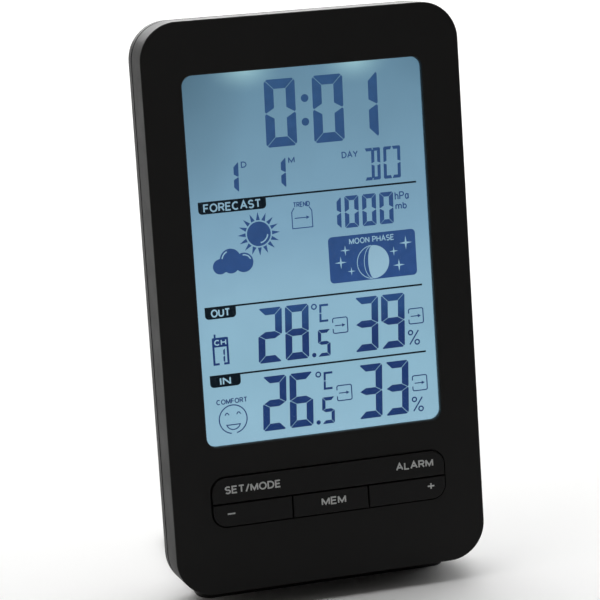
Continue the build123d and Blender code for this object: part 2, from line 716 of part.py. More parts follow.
# ---------------------------------------------------------------- battery door
with BuildPart() as battery_door:
    door_half = BAY_HALF - 0.3
    with BuildSketch(side(0)):
        with Locations((HINGE_DEPTH, HINGE_HEIGHT)):
            Circle(BARREL_R)
        door_mid, door_h = span(HINGE_HEIGHT, BAY_TOP - 0.3)
        with Locations((HINGE_DEPTH + BARREL_R - DOOR_T / 2, door_mid)):
            Rectangle(DOOR_T, door_h)
    extrude(amount=door_half, both=True)
    with BuildSketch(side(0)):
        with Locations((HINGE_DEPTH, HINGE_HEIGHT)):
            Circle(PIVOT_R)
    extrude(amount=BAY_HALF + 1.2, both=True)
    # latch tongue, freed by two slits, with grip ribs beside a finger recess
    with BuildSketch(at(HINGE_DEPTH + BARREL_R - DOOR_T)):
        with Locations((0, BAY_TOP - 0.3 + LATCH_REACH / 2)):
            Rectangle(LATCH_W, LATCH_REACH)
    extrude(amount=-DOOR_T)
    with BuildSketch(at(HINGE_DEPTH)):
        with Locations((-LATCH_W / 2 - 0.5, BAY_TOP - 3.8), (LATCH_W / 2 + 0.5, BAY_TOP - 3.8)):
            Rectangle(1.0, 7.2)
    extrude(amount=-3, mode=Mode.SUBTRACT)
    with BuildSketch(at(HINGE_DEPTH + BARREL_R - 0.5)):
        with Locations((0, BAY_TOP - 5.0)):
            with GridLocations(0, 1.6, 1, 4):
                Rectangle(8, 0.7)
    extrude(amount=-0.6, mode=Mode.SUBTRACT)

# ---------------------------------------------------------------- screws
HEAD_R = 2.3
HEAD_T = 1.7


def screws(places, seat, shank_r, length, head_r, head_t):
    """Pan head screws driven from behind: heads outside seat, shanks towards the face."""
    with BuildPart() as group:
        with BuildSketch(at(seat)):
            with Locations(*places):
                Circle(head_r)
        extrude(amount=-head_t)
        fillet(group.faces().group_by(OUTWARD)[0].edges(), head_t * 0.35)
        with BuildSketch(at(seat)):
            with Locations(*places):
                Circle(shank_r)
        extrude(amount=length)
        with BuildSketch(at(seat + head_t)):
            with Locations(*places):
                Rectangle(head_r * 1.15, head_r * 0.22)
                Rectangle(head_r * 0.22, head_r * 1.15)
        extrude(amount=head_t * 0.55, mode=Mode.SUBTRACT)
    return group


housing_screws = screws(SCREWS, SEAT_DEPTH, 1.2, 8.5, HEAD_R, HEAD_T)
frame_screws = screws(FRAME_SCREWS, EAR_FRONT + EAR_T, 0.8, 4.2, 1.6, 1.1)
key_board_screws = screws(KEY_SCREWS, KEY_BOARD_FRONT + KEY_BOARD_T, 0.8, 4.4, 1.6, 1.1)
board_screws = screws(BOARD_SCREWS, BOARD_BACK, 0.8, 2.8, 1.6, 1.1)

# ---------------------------------------------------------------- stand
with BuildPart() as stand:
    front_y = FACE_FOOT_Y + STAND_FRONT * cos(radians(LEAN))
    seat_end = BACK - BACK_ROUND
    seat_y = FACE_FOOT_Y + seat_end * cos(radians(LEAN))
    seat_front_z = FACE_FOOT_Z - STAND_FRONT * sin(radians(LEAN)) - STAND_GAP
    seat_end_z = FACE_FOOT_Z - seat_end * sin(radians(LEAN)) - STAND_GAP
    back_y = front_y + STAND_LENGTH
    with BuildSketch(Plane.YZ):
        with BuildLine():
            Polyline(
                (front_y, 0),
                (front_y, seat_front_z),
                (seat_y, seat_end_z),
                (seat_y, STAND_T),
                (back_y, STAND_T),
                (back_y, 0),
                close=True,
            )
        make_face()
    extrude(amount=STAND_HALF, both=True)
    fillet(stand.edges().filter_by(Axis.Z).group_by(Axis.Y)[0], 4.0)
    fillet(stand.edges().filter_by(Axis.Z).group_by(Axis.Y)[-1], 14.0)
    top = stand.faces().filter_by(Plane.XY).sort_by(Axis.Z)[-1]
    fillet(top.edges().group_by(Axis.Y)[-1], 0.8)
    for sign in (-1, 1):
        with BuildSketch(at(TONGUE_DEPTH - TONGUE_T / 2)):
            with Locations((sign * TONGUE_X, (TONGUE_TOP - 2.5) / 2)):
                Rectangle(TONGUE_W, TONGUE_TOP + 2.5)
        extrude(amount=-TONGUE_T)

for builder, label in [
    (stand, "stand"),
    (front_cover, "front_cover"),
    (rear_cover, "rear_cover"),
    (display_window, "display_window"),
    (front_polarizer, "front_polarizer"),
    (lcd_front_glass, "lcd_front_glass"),
    (lcd_rear_glass, "lcd_rear_glass"),
    (rear_polarizer, "rear_polarizer"),
    (diffuser_sheet, "diffuser_sheet"),
    (light_guide, "light_guide"),
    (reflector_sheet, "reflector_sheet"),
    (contact_strip, "contact_strip"),
    (lcd_frame, "lcd_frame"),
    (backlight_board, "backlight_board"),
    (backlight_leds, "backlight_leds"),
    (main_board, "main_board"),
    (controller_chip, "controller_chip"),
    (clock_crystals, "clock_crystals"),
    (board_capacitors, "board_capacitors"),
    (receiver_board, "receiver_board"),
    (receiver_chip, "receiver_chip"),
    (receiver_coils, "receiver_coils"),
    (pressure_sensor, "pressure_sensor"),
    (sensor_board, "sensor_board"),
    (humidity_sensor, "humidity_sensor"),
    (temperature_sensor, "temperature_sensor"),
    (buzzer, "buzzer"),
    (antenna_wire, "antenna_wire"),
    (mode_alarm_key, "mode_alarm_key"),
    (mode_alarm_pills, "mode_alarm_pills"),
    (minus_key, "minus_key"),
    (minus_pill, "minus_pill"),
    (mem_key, "mem_key"),
    (mem_pill, "mem_pill"),
    (plus_key, "plus_key"),
    (plus_pill, "plus_pill"),
    (key_mat, "key_mat"),
    (key_board, "key_board"),
    (key_ribbon, "key_ribbon"),
    (battery_upper, "battery_upper"),
    (battery_lower, "battery_lower"),
    (battery_springs, "battery_springs"),
    (battery_contacts, "battery_contacts"),
    (battery_leads, "battery_leads"),
    (battery_door, "battery_door"),
    (housing_screws, "housing_screws"),
    (frame_screws, "frame_screws"),
    (key_board_screws, "key_board_screws"),
    (board_screws, "board_screws"),
]:
    save(builder, label)
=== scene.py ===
import json
import math

import bmesh
import bpy
from mathutils import Matrix, Vector


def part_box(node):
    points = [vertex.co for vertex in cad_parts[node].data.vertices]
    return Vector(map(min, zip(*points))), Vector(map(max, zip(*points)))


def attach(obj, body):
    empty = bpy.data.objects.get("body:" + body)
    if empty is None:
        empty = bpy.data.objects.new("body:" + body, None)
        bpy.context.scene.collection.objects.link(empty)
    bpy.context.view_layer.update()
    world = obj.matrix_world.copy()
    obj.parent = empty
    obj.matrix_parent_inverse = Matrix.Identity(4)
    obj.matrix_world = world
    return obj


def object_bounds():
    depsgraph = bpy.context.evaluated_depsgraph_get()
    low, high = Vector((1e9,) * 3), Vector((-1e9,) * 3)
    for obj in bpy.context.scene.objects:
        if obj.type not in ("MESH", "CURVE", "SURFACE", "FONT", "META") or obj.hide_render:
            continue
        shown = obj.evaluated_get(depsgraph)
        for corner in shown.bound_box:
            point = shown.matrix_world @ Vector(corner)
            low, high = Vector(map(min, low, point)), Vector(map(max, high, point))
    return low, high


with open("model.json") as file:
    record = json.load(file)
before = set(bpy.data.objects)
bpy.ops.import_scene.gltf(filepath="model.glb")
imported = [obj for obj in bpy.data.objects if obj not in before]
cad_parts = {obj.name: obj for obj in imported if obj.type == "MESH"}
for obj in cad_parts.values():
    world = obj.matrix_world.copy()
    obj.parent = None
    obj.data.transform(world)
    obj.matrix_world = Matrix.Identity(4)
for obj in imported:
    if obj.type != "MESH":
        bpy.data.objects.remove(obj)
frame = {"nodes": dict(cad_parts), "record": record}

# The looks of a home weather station: a black console leaning back on its stand, with a lit blue
# LCD. Drawing on the display and the keys is done in millimetres on the face's own plane:
# x runs right from the middle of the window, y runs up from the window's top edge, and z runs
# straight out of the face.

MM = 0.001
CAD_LOW, CAD_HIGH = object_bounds()

# ------------------------------------------------------------------ the face's plane
joints = {joint["name"]: joint for joint in frame["record"]["behaviour"]["joints"]}
RIGHT = Vector((1, 0, 0))
UP = Vector(joints["console_lift"]["axis"]).normalized()
INTO = Vector(joints["minus_press"]["axis"]).normalized()
WINDOW_FLANGE = 2.0                     # the window's hidden flange, on each side


def face_box(node):
    """Lowest and highest corner of a node along RIGHT, UP and INTO, in metres."""
    points = [vertex.co for vertex in frame["nodes"][node].data.vertices]
    spread = [[point.dot(axis) for point in points] for axis in (RIGHT, UP, INTO)]
    return Vector([min(s) for s in spread]), Vector([max(s) for s in spread])


cover_low = face_box("front_cover")[0]
window_low, window_high = face_box("display_window")
film_low = face_box("front_polarizer")[0]
WINDOW_W = (window_high.x - window_low.x) / MM - 2 * WINDOW_FLANGE
WINDOW_H = (window_high.y - window_low.y) / MM - 2 * WINDOW_FLANGE
window_top = window_high.y - WINDOW_FLANGE * MM
origin = UP * window_top + INTO * cover_low.z
FACE = Matrix((
    (*[v.x for v in (RIGHT, UP, -INTO)], origin.x),
    (*[v.y for v in (RIGHT, UP, -INTO)], origin.y),
    (*[v.z for v in (RIGHT, UP, -INTO)], origin.z),
    (0, 0, 0, 1),
)) @ Matrix.Scale(MM, 4)
LCD_Z = -(film_low.z - cover_low.z) / MM          # front of the LCD, behind the face
INK_T = 0.04                                      # how thick the drawing is

# ------------------------------------------------------------------ node shaders


def srgb(code):
    """A hex colour as linear RGBA."""
    parts = [int(code[i:i + 2], 16) / 255 for i in (0, 2, 4)]
    linear = [p / 12.92 if p <= 0.04045 else ((p + 0.055) / 1.055) ** 2.4 for p in parts]
    return (*linear, 1.0)


class Look:
    """A Principled material and short ways to add nodes to it."""

    def __init__(self, name, **values):
        self.material = bpy.data.materials.new(name)
        self.material.use_nodes = True
        self.tree = self.material.node_tree
        self.shader = self.tree.nodes["Principled BSDF"]
        self.output = self.tree.nodes["Material Output"]
        self.where = self.node("ShaderNodeTexCoord").outputs["Object"]
        for socket, value in values.items():
            self.set(socket.replace("_", " "), value)

    def set(self, socket, value):
        """Set or link one of the shader's sockets."""
        target = self.shader.inputs[socket]
        if isinstance(value, bpy.types.NodeSocket):
            self.tree.links.new(value, target)
        else:
            target.default_value = value

    def node(self, kind, inputs=None, **settings):
        """A node with its settings; inputs are values or sockets, by name or by number."""
        made = self.tree.nodes.new(kind)
        for name, value in settings.items():
            setattr(made, name, value)
        for name, value in (inputs or {}).items():
            if isinstance(value, bpy.types.NodeSocket):
                self.tree.links.new(value, made.inputs[name])
            else:
                made.inputs[name].default_value = value
        return made

    def noise(self, size, detail=3.0, rough=0.5, where=None):
        """Noise whose blobs are about size millimetres."""
        inputs = {"Vector": where or self.where, "Scale": 1 / (size * MM)}
        inputs.update({"Detail": detail, "Roughness": rough})
        return self.node("ShaderNodeTexNoise", inputs).outputs["Fac"]

    def spread(self, fac, low, high, start=0.0, end=1.0):
        """fac between start and end as a number between low and high."""
        inputs = {"Value": fac, "From Min": start, "From Max": end, "To Min": low, "To Max": high}
        return self.node("ShaderNodeMapRange", inputs).outputs["Result"]

    def math(self, operation, a, b=0.0):
        return self.node("ShaderNodeMath", {0: a, 1: b}, operation=operation).outputs[0]

    def mix(self, fac, a, b, blend="MIX"):
        """Two colours mixed by fac."""
        made = self.node("ShaderNodeMix", data_type="RGBA", blend_type=blend)
        for index, value in ((0, fac), (6, a), (7, b)):
            if isinstance(value, bpy.types.NodeSocket):
                self.tree.links.new(value, made.inputs[index])
            else:
                made.inputs[index].default_value = value
        return made.outputs[2]

    def ramp(self, fac, stops):
        """A colour ramp through (place, colour) stops."""
        made = self.node("ShaderNodeValToRGB", {"Fac": fac})
        elements = made.color_ramp.elements
        while len(elements) < len(stops):
            elements.new(0.5)
        for element, (place, colour) in zip(elements, stops):
            element.position = place
            element.color = colour
        return made.outputs["Color"]

    def along(self, axis, low, high):
        """How far a point lies along an axis, 0 at low and 1 at high, in metres."""
        dot = self.node("ShaderNodeVectorMath", {0: self.where, 1: axis}, operation="DOT_PRODUCT")
        return self.spread(dot.outputs["Value"], 0.0, 1.0, low, high)

    def near(self, point, reach):
        """1 at a point, falling to 0 at its reach; reach is a length for each face axis, in metres."""
        away = self.node("ShaderNodeVectorMath", {0: self.where, 1: point}, operation="SUBTRACT")
        offset = away.outputs[0]
        total = 0.0
        for axis, length in zip((RIGHT, UP, INTO), reach):
            dot = self.node("ShaderNodeVectorMath", {0: offset, 1: axis / length}, operation="DOT_PRODUCT")
            square = self.math("POWER", dot.outputs["Value"], 2.0)
            total = self.math("ADD", square, total)
        return self.math("SUBTRACT", 1.0, self.math("MINIMUM", self.math("SQRT", total), 1.0))

    def edges(self, radius):
        """1 on sharp edges, 0 on flat faces."""
        soft = self.node("ShaderNodeBevel", {"Radius": radius * MM}, samples=6).outputs[0]
        hard = self.node("ShaderNodeNewGeometry").outputs["Normal"]
        dot = self.node("ShaderNodeVectorMath", {0: soft, 1: hard}, operation="DOT_PRODUCT").outputs["Value"]
        return self.spread(dot, 1.0, 0.0, 0.75, 0.99)

    def bump(self, height, depth, strength=1.0):
        """Relief of this depth in millimetres."""
        inputs = {"Height": height, "Distance": depth * MM, "Strength": strength}
        made = self.node("ShaderNodeBump", inputs)
        self.set("Normal", made.outputs["Normal"])


def moulded(name, colour, roughness, grain=0.22, relief=0.02, edge_wear_and_highlight=0.25, specular=0.5):
    """Moulded plastic: fine spark-eroded grain, faint flow tone, and edges a little paler: rubbed wear, and
    where the edge setting is high, as on the keys, also a painted highlight along the rims.
    """
    look = Look(name)
    tint = srgb(colour)
    flow = look.noise(26.0, 4.0, 0.55)
    paler = tuple(min(1.0, c * 1.5 + 0.002) for c in tint[:3]) + (1.0,)
    darker = tuple(c * 0.8 for c in tint[:3]) + (1.0,)
    base = look.ramp(flow, [(0.35, darker), (0.68, tint)])
    # Paler edges: rubbed wear, and with a high edge setting also a painted highlight along the rims.
    rubbed_and_highlit = look.math("MULTIPLY", look.edges(0.5), look.spread(look.noise(3.0), 0.2, edge_wear_and_highlight * 2.0, 0.35, 0.7))
    look.set("Base Color", look.mix(rubbed_and_highlit, base, paler))
    speckle = look.noise(grain, 2.0, 0.6)
    smear = look.noise(9.0, 5.0, 0.6)
    rough = look.spread(smear, roughness - 0.03, roughness + 0.04, 0.3, 0.7)
    look.set("Roughness", look.math("SUBTRACT", rough, look.math("MULTIPLY", rubbed_and_highlit, 0.1)))
    look.set("Specular IOR Level", specular)
    look.bump(speckle, relief, 0.6)
    return look.material


def printed(name, colour):
    """Opaque printing ink, a touch uneven, as screen printing is."""
    look = Look(name)
    tint = srgb(colour)
    thin = tuple(c * 0.82 for c in tint[:3]) + (1.0,)
    look.set("Base Color", look.ramp(look.noise(0.5, 3.0), [(0.3, thin), (0.62, tint)]))
    look.set("Roughness", look.spread(look.noise(0.3), 0.42, 0.6))
    look.bump(look.noise(0.15), 0.004)
    return look.material


def metal(name, colour, roughness, brushed=(1, 1, 1)):
    """Plated sheet or wire with fine drawn lines and faint tarnish."""
    look = Look(name, Metallic=1.0)
    tint = srgb(colour)
    dull = tuple(c * 0.7 for c in tint[:3]) + (1.0,)
    look.set("Base Color", look.ramp(look.noise(2.2, 4.0), [(0.38, dull), (0.6, tint)]))
    stretched = look.node("ShaderNodeVectorMath", {0: look.where, 1: brushed}, operation="MULTIPLY")
    lines = look.noise(0.12, 2.0, 0.5, stretched.outputs[0])
    look.set("Roughness", look.spread(lines, roughness - 0.06, roughness + 0.1, 0.3, 0.7))
    look.bump(lines, 0.006, 0.5)
    return look.material


def circuit(name):
    """Green solder mask over copper tracks, with tinned pads."""
    look = Look(name)
    grid = look.node("ShaderNodeTexVoronoi", {"Vector": look.where, "Scale": 520.0},
                     feature="DISTANCE_TO_EDGE", distance="CHEBYCHEV").outputs["Distance"]
    tracks = look.spread(grid, 1.0, 0.0, 0.05, 0.1)
    dots = look.node("ShaderNodeTexVoronoi", {"Vector": look.where, "Scale": 330.0}).outputs["Distance"]
    pads = look.spread(dots, 1.0, 0.0, 0.09, 0.12)
    mask = look.mix(tracks, srgb("0b3d1c"), srgb("1b6a34"))
    look.set("Base Color", look.mix(pads, mask, srgb("c9c6bd")))
    look.set("Metallic", look.math("MULTIPLY", pads, 0.9))
    look.set("Roughness", look.spread(look.noise(1.5), 0.22, 0.4))
    look.bump(look.math("ADD", tracks, pads), 0.03)
    return look.material


def rubber(name, colour):
    """Matte silicone with a soft tooth and a trace of dust."""
    look = Look(name)
    tint = srgb(colour)
    dust = tuple(min(1.0, c + 0.03) for c in tint[:3]) + (1.0,)
    look.set("Base Color", look.ramp(look.noise(1.4, 5.0), [(0.42, tint), (0.75, dust)]))
    look.set("Roughness", look.spread(look.noise(0.6), 0.6, 0.8))
    look.bump(look.noise(0.12), 0.01)
    return look.material


def film(name, colour, roughness):
    """A pale plastic sheet with fine fibres and handling marks."""
    look = Look(name)
    tint = srgb(colour)
    shade = tuple(c * 0.93 for c in tint[:3]) + (1.0,)
    look.set("Base Color", look.ramp(look.noise(5.0, 4.0), [(0.35, shade), (0.65, tint)]))
    look.set("Roughness", look.spread(look.noise(0.9, 4.0), roughness - 0.06, roughness + 0.08, 0.3, 0.7))
    look.bump(look.noise(0.2), 0.004)
    return look.material


def striped(name, first, second, pitch):
    """Layered rubber: thin stripes across X."""
    look = Look(name)
    split = look.node("ShaderNodeSeparateXYZ", {"Vector": look.where}).outputs["X"]
    wave = look.math("SINE", look.math("MULTIPLY", split, 2 * math.pi / (pitch * MM)))
    look.set("Base Color", look.mix(look.spread(wave, 0.0, 1.0, -0.2, 0.2), srgb(first), srgb(second)))
    look.set("Roughness", look.spread(look.noise(0.4), 0.45, 0.65))
    look.bump(wave, 0.01)
    return look.material


# ------------------------------------------------------------------ the lit display

LED_FROM_END = 1.6                      # an LED's middle, in from the outer end of its package
LED_X = face_box("backlight_leds")[1].x / MM - LED_FROM_END
LEFT_SHADE = (0.020, 0.045, 0.05)       # how far the dim corners and the LEDs' glow reach, in metres
RIGHT_SHADE = (0.010, 0.012, 0.05)
LED_GLOW = (0.012, 0.008, 0.05)


def face_point(x, y, z=0.0):
    """A place on the face's plane, in the row frame."""
    return FACE @ Vector((x, y, z))


def backlight(look):
    """The blue glow: paler towards the bottom, dim in the top corners, bright at the two LEDs."""
    stops = [
        (0.00, srgb("698da3")),
        (0.29, srgb("799eb5")),
        (0.45, srgb("82a8c0")),
        (0.60, srgb("8fb5ca")),
        (0.80, srgb("91b9cd")),
        (1.00, srgb("96bcd0")),
    ]
    down = look.along(-UP, -window_top, -window_top + WINDOW_H * MM)
    glow = look.ramp(down, stops)
    shade = look.near(face_point(-WINDOW_W / 2, 2, LCD_Z), LEFT_SHADE)
    glow = look.mix(look.spread(shade, 0.0, 0.58), glow, srgb("3c5564"))
    shade = look.near(face_point(WINDOW_W / 2 + 1, 2, LCD_Z), RIGHT_SHADE)
    glow = look.mix(look.spread(shade, 0.0, 0.35), glow, srgb("4a687a"))
    for x in (-LED_X, LED_X):
        hot = look.near(face_point(x, 1.0, LCD_Z), LED_GLOW)
        glow = look.mix(look.spread(look.math("POWER", hot, 1.8), 0.0, 0.78), glow, srgb("b4dfe4"))
    mottle = look.spread(look.noise(14.0, 3.0), 0.97, 1.03, 0.3, 0.7)
    grey = look.node("ShaderNodeCombineXYZ", {0: mottle, 1: mottle, 2: mottle}).outputs[0]
    return look.mix(1.0, glow, grey, "MULTIPLY")


def lit_film():
    """The LCD's front film, satin, with the backlight coming through it."""
    look = Look("lcd_lit", Base_Color=srgb("12181b"), Specular_IOR_Level=0.12)
    look.set("Emission Color", backlight(look))
    look.set("Emission Strength", 1.0)
    look.set("Roughness", look.spread(look.noise(0.5), 0.4, 0.5))
    look.bump(look.noise(0.1), 0.002)
    return look.material


def lit_ink():
    """Pale marks cut out of dark ones: the backlight again, a little brighter."""
    look = Look("lcd_pale", Base_Color=srgb("12181b"), Specular_IOR_Level=0.12)
    look.set("Emission Color", look.mix(0.22, backlight(look), srgb("b9d8e6")))
    look.set("Emission Strength", 1.0)
    look.set("Roughness", look.spread(look.noise(0.5), 0.4, 0.5))
    return look.material


def liquid_crystal():
    """A switched LCD segment: deep blue, paler where the backlight is strong behind it."""
    look = Look("lcd_segment", Base_Color=srgb("080d18"), Specular_IOR_Level=0.12)
    down = look.along(-UP, -window_top, -window_top + WINDOW_H * MM)
    stops = [
        (0.00, srgb("33557e")),
        (0.40, srgb("304e7e")),
        (0.60, srgb("2f4f86")),
        (0.68, srgb("294a7a")),
        (0.72, srgb("21386c")),
        (1.00, srgb("1f3a6d")),
    ]
    tone = look.ramp(down, stops)
    patchy = look.spread(look.noise(2.5, 3.0), 0.93, 1.07, 0.3, 0.7)
    grey = look.node("ShaderNodeCombineXYZ", {0: patchy, 1: patchy, 2: patchy}).outputs[0]
    look.set("Emission Color", look.mix(1.0, tone, grey, "MULTIPLY"))
    look.set("Emission Strength", 1.0)
    look.set("Roughness", look.spread(look.noise(0.5), 0.4, 0.5))
    return look.material


def mask_ink():
    """The display's fixed black printing."""
    look = Look("lcd_black", Specular_IOR_Level=0.12)
    look.set("Base Color", look.ramp(look.noise(1.0), [(0.3, srgb("060a0e")), (0.7, srgb("0c1318"))]))
    look.set("Emission Color", srgb("101c26"))
    look.set("Emission Strength", 0.6)
    look.set("Roughness", look.spread(look.noise(0.5), 0.4, 0.5))
    return look.material


HEAD_ON = 0.022                          # how much the window's coated faces mirror, seen head on


def clear_window():
    """Clear moulded window: mostly see-through, mirror-like at a glance, with faint wipe marks.

    The mirroring is the same on the window's front and back faces, so the display shows through it
    from any side.
    """
    look = Look("window_clear")
    look.tree.nodes.remove(look.shader)
    see_through = look.node("ShaderNodeBsdfTransparent", {"Color": (0.97, 0.985, 0.99, 1.0)})
    wiped = look.spread(look.noise(6.0, 6.0, 0.65), 0.04, 0.12, 0.35, 0.7)
    gloss = look.node("ShaderNodeBsdfGlossy", {"Color": (1, 1, 1, 1), "Roughness": wiped})
    facing = look.node("ShaderNodeLayerWeight", {"Blend": 0.5}).outputs["Facing"]
    grazing = look.math("MULTIPLY", look.math("POWER", facing, 5.0), 1.0 - HEAD_ON)
    mirror = look.math("ADD", grazing, HEAD_ON)
    both = look.node("ShaderNodeMixShader", {0: mirror, 1: see_through.outputs[0], 2: gloss.outputs[0]})
    look.tree.links.new(both.outputs[0], look.output.inputs["Surface"])
    return look.material


BARE_END = 0.0020                        # bare metal at a cell's ends, in metres
RING_AT = 0.014                         # the silver ring on its sleeve
RING_HALF = 0.0041
PRINT_EDGE = 0.0001                     # how soft a printed edge is


def cell_jacket():
    """A battery's printed sleeve with bare metal at both ends."""
    look = Look("cell_jacket")
    across = look.node("ShaderNodeSeparateXYZ", {"Vector": look.where}).outputs["X"]
    low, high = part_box("battery_upper")
    sleeve_end = (high.x - low.x) / 2 - BARE_END
    from_middle = look.math("ABSOLUTE", look.math("SUBTRACT", across, (low.x + high.x) / 2))
    ends = look.spread(from_middle, 0.0, 1.0, sleeve_end - PRINT_EDGE, sleeve_end + PRINT_EDGE)
    from_ring = look.math("ABSOLUTE", look.math("SUBTRACT", across, low.x + RING_AT))
    ring = look.spread(from_ring, 1.0, 0.0, RING_HALF - PRINT_EDGE, RING_HALF + PRINT_EDGE)
    sleeve = look.mix(ring, srgb("1d2b44"), srgb("b7bcc2"))
    sleeve = look.mix(look.spread(look.noise(3.0), 0.0, 0.15), sleeve, srgb("0a0d14"))
    look.set("Base Color", look.mix(ends, sleeve, srgb("c9cbcd")))
    look.set("Metallic", look.math("MAXIMUM", ends, look.math("MULTIPLY", ring, 0.8)))
    look.set("Roughness", look.spread(look.noise(0.8), 0.22, 0.36))
    look.bump(look.noise(1.1, 4.0), 0.01)
    return look.material


# ------------------------------------------------------------------ drawing on the face


def finish_piece(name, mesh_data, material, body):
    """A mesh drawn in face millimetres becomes a piece on its body."""
    mesh_data.transform(FACE)
    mesh_data.materials.clear()
    mesh_data.materials.append(material)
    piece = bpy.data.objects.new(name, mesh_data)
    bpy.context.scene.collection.objects.link(piece)
    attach(piece, body)
    return piece


class Drawing:
    """Flat marks gathered into one thin closed mesh at a set height above the face plane."""

    def __init__(self, z, thickness=INK_T):
        self.mesh = bmesh.new()
        self.z = z
        self.thickness = thickness
        self.marks = 0

    def heights(self):
        """Bottom and top of the next mark; marks that cross differ a little, so no two faces coincide."""
        self.marks += 1
        return self.z, self.z + self.thickness + 0.002 * (self.marks % 3)

    def fill(self, outline):
        """A filled closed outline."""
        low, high = self.heights()
        back = [self.mesh.verts.new((x, y, low)) for x, y in outline]
        front = [self.mesh.verts.new((x, y, high)) for x, y in outline]
        area = sum(a[0] * b[1] - b[0] * a[1] for a, b in zip(outline, outline[1:] + outline[:1]))
        if area < 0:
            back.reverse()
            front.reverse()
        self.mesh.faces.new(front)
        self.mesh.faces.new(back[::-1])
        count = len(front)
        for i in range(count):
            j = (i + 1) % count
            self.mesh.faces.new((back[i], back[j], front[j], front[i]))

    def stroke(self, points, width, closed=False):
        """A line of even width through points, with mitred corners."""
        count = len(points)
        left, right = [], []
        for i, here in enumerate(points):
            before = points[i - 1] if closed or i else None
            after = points[(i + 1) % count] if closed or i < count - 1 else None
            normals = []
            for a, b in ((before, here), (here, after)):
                if a is not None and b is not None:
                    dx, dy = b[0] - a[0], b[1] - a[1]
                    length = math.hypot(dx, dy)
                    normals.append((-dy / length, dx / length))
            nx = sum(n[0] for n in normals)
            ny = sum(n[1] for n in normals)
            size = math.hypot(nx, ny)
            nx, ny = nx / size, ny / size
            reach = width / 2 / max(0.4, nx * normals[0][0] + ny * normals[0][1])
            left.append((here[0] + nx * reach, here[1] + ny * reach))
            right.append((here[0] - nx * reach, here[1] - ny * reach))
        self.band(left, right, closed)

    def band(self, left, right, closed=False):
        """A solid band between two rails of equal length."""
        rails = []
        for z in self.heights():
            for rail in (left, right):
                rails.append([self.mesh.verts.new((x, y, z)) for x, y in rail])
        low_left, low_right, high_left, high_right = rails
        count = len(left)
        for i in range(count if closed else count - 1):
            j = (i + 1) % count
            self.mesh.faces.new((high_left[i], high_right[i], high_right[j], high_left[j]))
            self.mesh.faces.new((low_left[i], low_left[j], low_right[j], low_right[i]))
            self.mesh.faces.new((low_left[i], high_left[i], high_left[j], low_left[j]))
            self.mesh.faces.new((low_right[i], low_right[j], high_right[j], high_right[i]))
        if not closed:
            for i in (0, count - 1):
                self.mesh.faces.new((low_left[i], low_right[i], high_right[i], high_left[i]))

    def disc(self, x, y, radius, sides=40):
        self.fill(arc(x, y, radius, 0, 360, sides)[:-1])

    def ring(self, x, y, radius, width, sides=48):
        self.stroke(arc(x, y, radius, 0, 360, sides)[:-1], width, closed=True)

    def piece(self, name, material, body="console", slot="lcd_glass"):
        """Finish the drawing as one piece."""
        bmesh.ops.recalc_face_normals(self.mesh, faces=self.mesh.faces)
        data = bpy.data.meshes.new(name)
        self.mesh.to_mesh(data)
        self.mesh.free()
        return finish_piece(name, data, material, body)


def arc(x, y, radius, start, end, sides=24, squash=1.0):
    """Points along an arc, in degrees anticlockwise from the right."""
    turns = [math.radians(start + (end - start) * i / sides) for i in range(sides + 1)]
    return [(x + radius * squash * math.cos(t), y + radius * math.sin(t)) for t in turns]


def rounded(x0, y0, x1, y1, radius, corners="abcd", sides=6):
    """A rectangle's outline with some corners rounded: a is lower left, then anticlockwise."""
    centres = {
        "a": (x0 + radius, y0 + radius, 180, x0, y0),
        "b": (x1 - radius, y0 + radius, 270, x1, y0),
        "c": (x1 - radius, y1 - radius, 0, x1, y1),
        "d": (x0 + radius, y1 - radius, 90, x0, y1),
    }
    points = []
    for corner, (cx, cy, start, sharp_x, sharp_y) in centres.items():
        if corner in corners:
            points += arc(cx, cy, radius, start, start + 90, sides)
        else:
            points.append((sharp_x, sharp_y))
    return points


def inset(outline, amount):
    """A convex outline drawn in by the same amount on every side."""
    area = sum(a[0] * b[1] - b[0] * a[1] for a, b in zip(outline, outline[1:] + outline[:1]))
    if area < 0:
        outline = outline[::-1]
    count = len(outline)
    moved = []
    for i in range(count):
        ax, ay = outline[i]
        bx, by = outline[(i + 1) % count]
        length = math.hypot(bx - ax, by - ay)
        nx, ny = -(by - ay) / length * amount, (bx - ax) / length * amount
        moved.append((ax + nx, ay + ny, bx - ax, by - ay))
    points = []
    for i in range(count):
        px, py, pdx, pdy = moved[i - 1]
        qx, qy, qdx, qdy = moved[i]
        cross = pdx * qdy - pdy * qdx
        along = ((qx - px) * qdy - (qy - py) * qdx) / cross
        points.append((px + pdx * along, py + pdy * along))
    return points


DIGITS = {
    "0": "abcdef", "1": "bc", "2": "abdeg", "3": "abcdg", "4": "bcfg",
    "5": "acdfg", "6": "acdefg", "7": "abc", "8": "abcdefg", "9": "abcdfg",
}


def segment_shapes(w, h, t):
    """The seven segments of a digit of width w, height h and stroke t; y runs down from its top."""
    m, cut = h / 2, t * 0.3
    half = cut / 2
    return {
        "a": [(half, half), (cut, 0), (w - cut, 0), (w - half, half), (w - t, t), (t, t)],
        "b": [(w - half, half), (w, cut), (w, m - half), (w - half, m), (w - t, m - t / 2), (w - t, t)],
        "c": [(w - half, h - half), (w, h - cut), (w, m + half), (w - half, m), (w - t, m + t / 2),
              (w - t, h - t)],
        "d": [(half, h - half), (cut, h), (w - cut, h), (w - half, h - half), (w - t, h - t), (t, h - t)],
        "e": [(half, h - half), (0, h - cut), (0, m + half), (half, m), (t, m + t / 2), (t, h - t)],
        "f": [(half, half), (0, cut), (0, m - half), (half, m), (t, m - t / 2), (t, t)],
        "g": [(half, m), (t, m - t / 2), (w - t, m - t / 2), (w - half, m), (w - t, m + t / 2),
              (t, m + t / 2)],
    }


